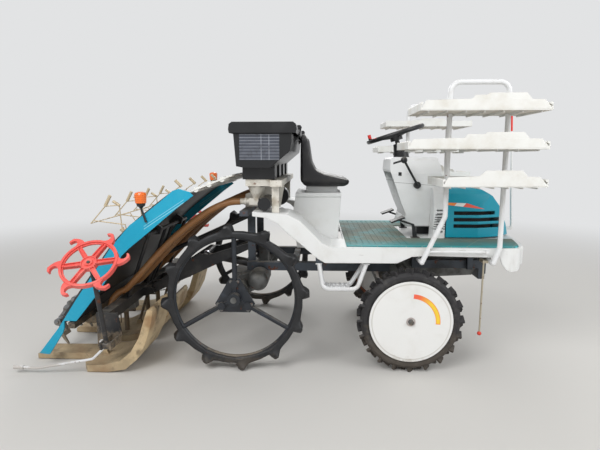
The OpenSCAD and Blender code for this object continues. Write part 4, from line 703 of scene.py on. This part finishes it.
for name, first, last, above, below in (("upper", 0, HOSE_MIDDLE, "chassis", "lower_link"),
                                        ("lower", HOSE_MIDDLE, HOSE_LAST, "lower_link", "planter")):
    lengths = [loft("hose", hose_rings(feed, boot, first, last), hose_plastic) for feed, boot in HOSE_ROWS]
    hoses = join(f"hoses_{name}", lengths)
    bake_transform(hoses)
    if first == 0:
        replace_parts(hoses, "fertiliser_hoses")

# Lift linkage: links, drive shaft and hydraulic ram of black painted steel, held by pins between the
# chassis and the planter, and a bright steel rod in the ram. The planter's frame, its boots and the marker
# arms are in the same paint, which is rusty in spots and muddy low down.
link_paint = Finish("link_paint", shade(36, 37, 40), 0.42, 0.1)
link_paint.grime(shade(70, 68, 66), 9, 0.45, 0.72, 0.7).rust(0.64, 0.69, 0.8, 22).mud(0.55, 0.7).dust(0.5)
dress(link_paint, "black_steel", "lower_links", "drive_shaft", "top_link", "cylinder_barrel", "planter_frame",
      "fertiliser_boots", "marker_arm_right", "marker_arm_left")
bright_steel = Finish("bright_steel", shade(190, 192, 196), 0.18, 1.0)
dress(bright_steel, "bare_steel", "cylinder_rod")

# Rotary planting mechanism: two rotor cases of bare steel, each with two arms whose claws pick seedlings
# off the table. They are bolted on the shafts of the planting cases, and oil, rust and mud stain them.
rotor_steel = Finish("rotor_steel", shade(138, 140, 142), 0.4, 0.8)
rotor_steel.grime(shade(92, 88, 80), 20, 0.45, 0.7, 0.8).rust(0.6, 0.68, 0.8, 30).mud(0.42, 0.7)
dress(rotor_steel, "bare_steel", "rotor_right", "rotor_left", "arms_right_a", "arms_right_b", "arms_left_a",
      "arms_left_b")

# Floats: three boards of tan plastic, moulded hollow, that glide over the paddy on pivots below the
# planter. Soil has stained them.
float_plastic = Finish("float_plastic", shade(206, 184, 146), 0.55, edge=0.006)
float_plastic.grime(shade(150, 112, 72), 5, 0.45, 0.7, 0.8).grime(shade(110, 92, 70), 12, 0.52, 0.72, 0.8)
float_plastic.mud(0.2, 0.5)
dress(float_plastic, "float_plastic", "floats")

# Seedling table: pale plastic where the mats of seedlings slide, between teal side panels. Every face of the
# table that does not face up is painted dark grey, as painted shade under it and for its black frame below.
# Two lines are pressed into each panel and painted lighter as a painted highlight, and a white extension is
# folded out on top.
table_plastic = Finish("table_plastic", shade(196, 200, 200), 0.4, edge=0.003)
table_plastic.grime(shade(150, 146, 136), 5, 0.45, 0.75, 0.7).grime(shade(104, 92, 76), 12, 0.56, 0.76, 0.6)
# Faces that do not face up are painted dark grey: painted shade under the table, standing also for its black
# frame.
table_plastic.coat(table_plastic.upward.between(0.15, 0.0), shade(42, 42, 45), 0.5)
table_plastic.grime(shade(74, 70, 66), 16, 0.5, 0.7, 0.4)
dress(table_plastic, "white_plastic", "seedling_table")
panel_paint = Finish("panel_paint", shade(20, 160, 194), 0.34, edge=0.004)
panel_paint.grime(shade(66, 172, 194), 6, 0.5, 0.8, 0.4).grime(shade(86, 120, 122), 18, 0.64, 0.78, 0.5)
# The pressed lines are painted lighter teal, with no relief: a painted highlight along each line.
fall = panel_paint.z - panel_paint.x * 0.6495
pressed_highlight = fall.inside(1.3085, 1.3125, 0.001) + fall.inside(1.324, 1.327, 0.001)
pressed_highlight = pressed_highlight * panel_paint.x.inside(-0.76, -0.53, 0.002)
panel_paint.coat(pressed_highlight * 0.7, shade(170, 222, 232)).mud(0.2, 0.4)
dress(panel_paint, "teal_plastic", "table_panels")
dress(tray_plastic, "white_plastic", "table_extension")
wire_paint = Finish("wire_paint", shade(196, 180, 150), 0.45, 0.2)
wire_paint.rust(0.6, 0.66, 0.8, 40)
dress(wire_paint, "cream_paint", "mat_holders")

# Lamps: faceted lenses of amber plastic with fine ribs, each pushed on a black base. The stem below it is
# bolted to the table's side panel.
lamp_amber = Finish("lamp_amber", shade(240, 112, 16), 0.16, edge=0.001, **{"Coat Weight": 0.6})
lamp_amber.coat(lamp_amber.z.saw(0.012).inside(0.0, 0.16, 0.05) * 0.5, shade(190, 66, 4))
LAMP_OUT = 0.614
STEM_RADIUS = 0.0065
# Height over the lens's centre and radius of each step of the lens and of its base.
LENS_STEPS = [(-0.031, 0.02), (-0.029, 0.03), (0.018, 0.033), (0.028, 0.028), (0.033, 0.012)]
BASE_STEPS = [(-0.06, 0.007), (-0.052, 0.012), (-0.045, 0.022), (-0.0315, 0.025)]


def level_ring(centre, height, radius, count):
    """Level ring of points over a centre."""
    return [centre + Vector((math.cos(a) * radius, math.sin(a) * radius, height)) for a in around(count)]


for side, name, (x, z), (foot_x, foot_z) in ((-1, "right", (-0.767, 0.993), (-0.743, 0.856)),
                                             (1, "left", (-0.643, 1.06), (-0.628, 0.96))):
    centre = Vector((x, side * LAMP_OUT, z))
    foot = Vector((foot_x, side * LAMP_OUT, foot_z))
    lens = [level_ring(centre, h, r, 12) for h, r in LENS_STEPS]
    lens = bake(loft(f"lamp_lens_{name}", lens, lamp_amber, crease=12), "table")
    base = [level_ring(centre, h, r, 20) for h, r in BASE_STEPS]
    stem = [level_ring(foot, 0, STEM_RADIUS, 12), level_ring(centre, -0.058, STEM_RADIUS, 12)]
    stem = join(f"lamp_stem_{name}", [loft("part", base, black_plastic), loft("part", stem, black_plastic)])
    bake(stem, "table")
    if side < 0:
        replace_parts(lens, "lamps")

# Row markers: red plastic stars, faded pink where the sun has been on them. Six ribbed spokes carry a rim
# with a hook at the end of each spoke, and they turn freely on the marker's arm.
star_red = Finish("star_red", shade(232, 92, 84), 0.4, edge=0.003)
star_red.grime(shade(244, 146, 136), 9, 0.45, 0.75, 0.6)
star_red.grime(shade(190, 70, 64), 30, 0.6, 0.75, 0.4).mud(0.3, 0.3)
# Middle of the right star's hub, how the star leans, and the turn of its first spoke in degrees.
STAR = Vector((-0.931, -0.902, 0.688))
STAR_LEAN = Matrix.Rotation(math.radians(40), 4, "X")
STAR_PHASE = 10
SPOKES = 6
# Sections of the rim and the hub: radius, and height over the star's plane.
RIM_SECTION = [(0.124, -0.004), (0.124, 0.004), (0.131, 0.004), (0.131, 0.012), (0.143, 0.012),
               (0.143, -0.012), (0.131, -0.012), (0.131, -0.004)]
HUB_SECTION = [(0.0085, -0.016), (0.0085, 0.012), (0.02, 0.014), (0.022, 0.006), (0.034, 0.006),
               (0.036, 0.012), (0.04, 0.012), (0.041, -0.014), (0.02, -0.016)]
# Outlines of a spoke and of the hook at its end, in the star's plane: along the spoke, and across it.
WEB = [(0.036, -0.013), (0.126, -0.011), (0.126, 0.011), (0.036, 0.013)]
HOOK = [(0.141 + 0.058 * (k / 9) ** 0.75, -0.034 + 0.034 * (k / 9) ** 1.6) for k in range(10)]
HOOK += [(0.199, 0.006), (0.197, 0.022), (0.189, 0.03), (0.184, 0.026), (0.186, 0.015), (0.183, 0.003),
         (0.172, -0.004), (0.158, -0.002), (0.148, 0.008), (0.141, 0.022)]


def turned(section, count):
    """Section taken once round the star's axle, so that the last ring meets the first."""
    rings = [[(r * math.cos(a), r * math.sin(a), h) for r, h in section] for a in around(count)]
    return loft("part", rings + rings[:1], star_red, ends=False)


def swept(outline, turn, half):
    """Outline in the star's plane, turned about its axle and given half a thickness on either side."""
    c, s = math.cos(math.radians(turn)), math.sin(math.radians(turn))
    rings = [[(x * c - y * s, x * s + y * c, h) for x, y in outline] for h in (-half, half)]
    return loft("part", rings, star_red)


def star_parts():
    """Rim, hub, and the spokes with their two ribs and their hook."""
    made = [turned(RIM_SECTION, 72), turned(HUB_SECTION, 40)]
    for spoke in range(SPOKES):
        turn = STAR_PHASE + 360 // SPOKES * spoke
        made.append(swept(WEB, turn, 0.002))
        for edge in (-1, 1):
            rib = [(0.036, edge * 0.013), (0.126, edge * 0.011), (0.126, edge * 0.007), (0.036, edge * 0.009)]
            made.append(swept(rib, turn, 0.011))
        made.append(swept(HOOK, turn, 0.0095))
    return made


for side, name in SIDES:
    star = join(f"star_{name}", star_parts())
    star.data.transform(Matrix.Translation(STAR) @ STAR_LEAN)
    if side > 0:
        star.data.transform(Matrix.Scale(-1, 4, (0, 1, 0)))
        star.data.flip_normals()
    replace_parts(bake(star, f"marker_star_{name}"), f"marker_star_{name}")

# Studio: a pale floor that fades into the sky at a distance, so that no edge shows, three soft lamps, and
# a camera on the machine's right at the height of its dashboard.
floor_mesh = bpy.data.meshes.new("floor")
floor_mesh.from_pydata([(-30, -30, 0), (30, -30, 0), (30, 30, 0), (-30, 30, 0)], [], [(0, 1, 2, 3)])
floor = set_out("floor", floor_mesh)
floor_paint = Finish("floor_paint", shade(206, 204, 200), 0.8, edge=0)
far = (floor_paint.x * floor_paint.x + floor_paint.y * floor_paint.y).by("SQRT").between(2.6, 7.5)
glow = floor_paint.node("ShaderNodeEmission", {}, {"Color": shade(226, 227, 228), "Strength": 1.0})
lit = Ink(floor_paint, floor_paint.shader.outputs[0])
faded = floor_paint.node("ShaderNodeMixShader", {}, {0: far, 1: lit, 2: glow})
floor_paint.tree.links.new(faded.socket, floor_paint.tree.nodes["Material Output"].inputs[0])
floor_mesh.materials.append(floor_paint.material)

sky = bpy.data.worlds.new("sky")
bpy.context.scene.world = sky
sky.use_nodes = True
air = Workbench(sky.node_tree)
rays = sky.node_tree.nodes.new("ShaderNodeLightPath")
seen = Ink(air, rays.outputs["Is Camera Ray"])
glossy = Ink(air, rays.outputs["Is Glossy Ray"])
background = sky.node_tree.nodes["Background"]
background.inputs["Color"].default_value = shade(226, 227, 228)
strength = (seen + glossy * 0.6).between(0.0, 1.0) * 0.42 + 0.58
sky.node_tree.links.new(strength.socket, background.inputs["Strength"])

for name, place, size, power in (("key", (-2.0, -4.2, 4.6), 3.4, 210), ("fill", (3.8, -2.6, 2.8), 3.0, 80),
                                 ("back", (0.5, 4.6, 3.6), 3.6, 120)):
    lamp = bpy.data.lights.new(name, "AREA")
    lamp.shape, lamp.size, lamp.energy = "DISK", size, power
    holder = set_out(name, lamp)
    holder.location = place
    holder.rotation_euler = (Vector((0.1, 0, 0.6)) - Vector(place)).to_track_quat("-Z", "Y").to_euler()

lens = bpy.data.cameras.new("camera")
sensor, focal_pixels, picture_pixels = 36.0, 460, 600
lens.sensor_width, lens.lens = sensor, sensor * focal_pixels / picture_pixels
camera = set_out("camera", lens)
camera.location = (0.215, -3.10, 1.214)
camera.rotation_mode = "QUATERNION"
heading_x, heading_y, level, fall = -0.0419, 0.9991, 0.9893, -0.1461
camera.rotation_quaternion = Vector((heading_x * level, heading_y * level, fall)).to_track_quat("-Z", "Y")
bpy.context.scene.camera = camera
bpy.context.scene.view_settings.view_transform = "Standard"
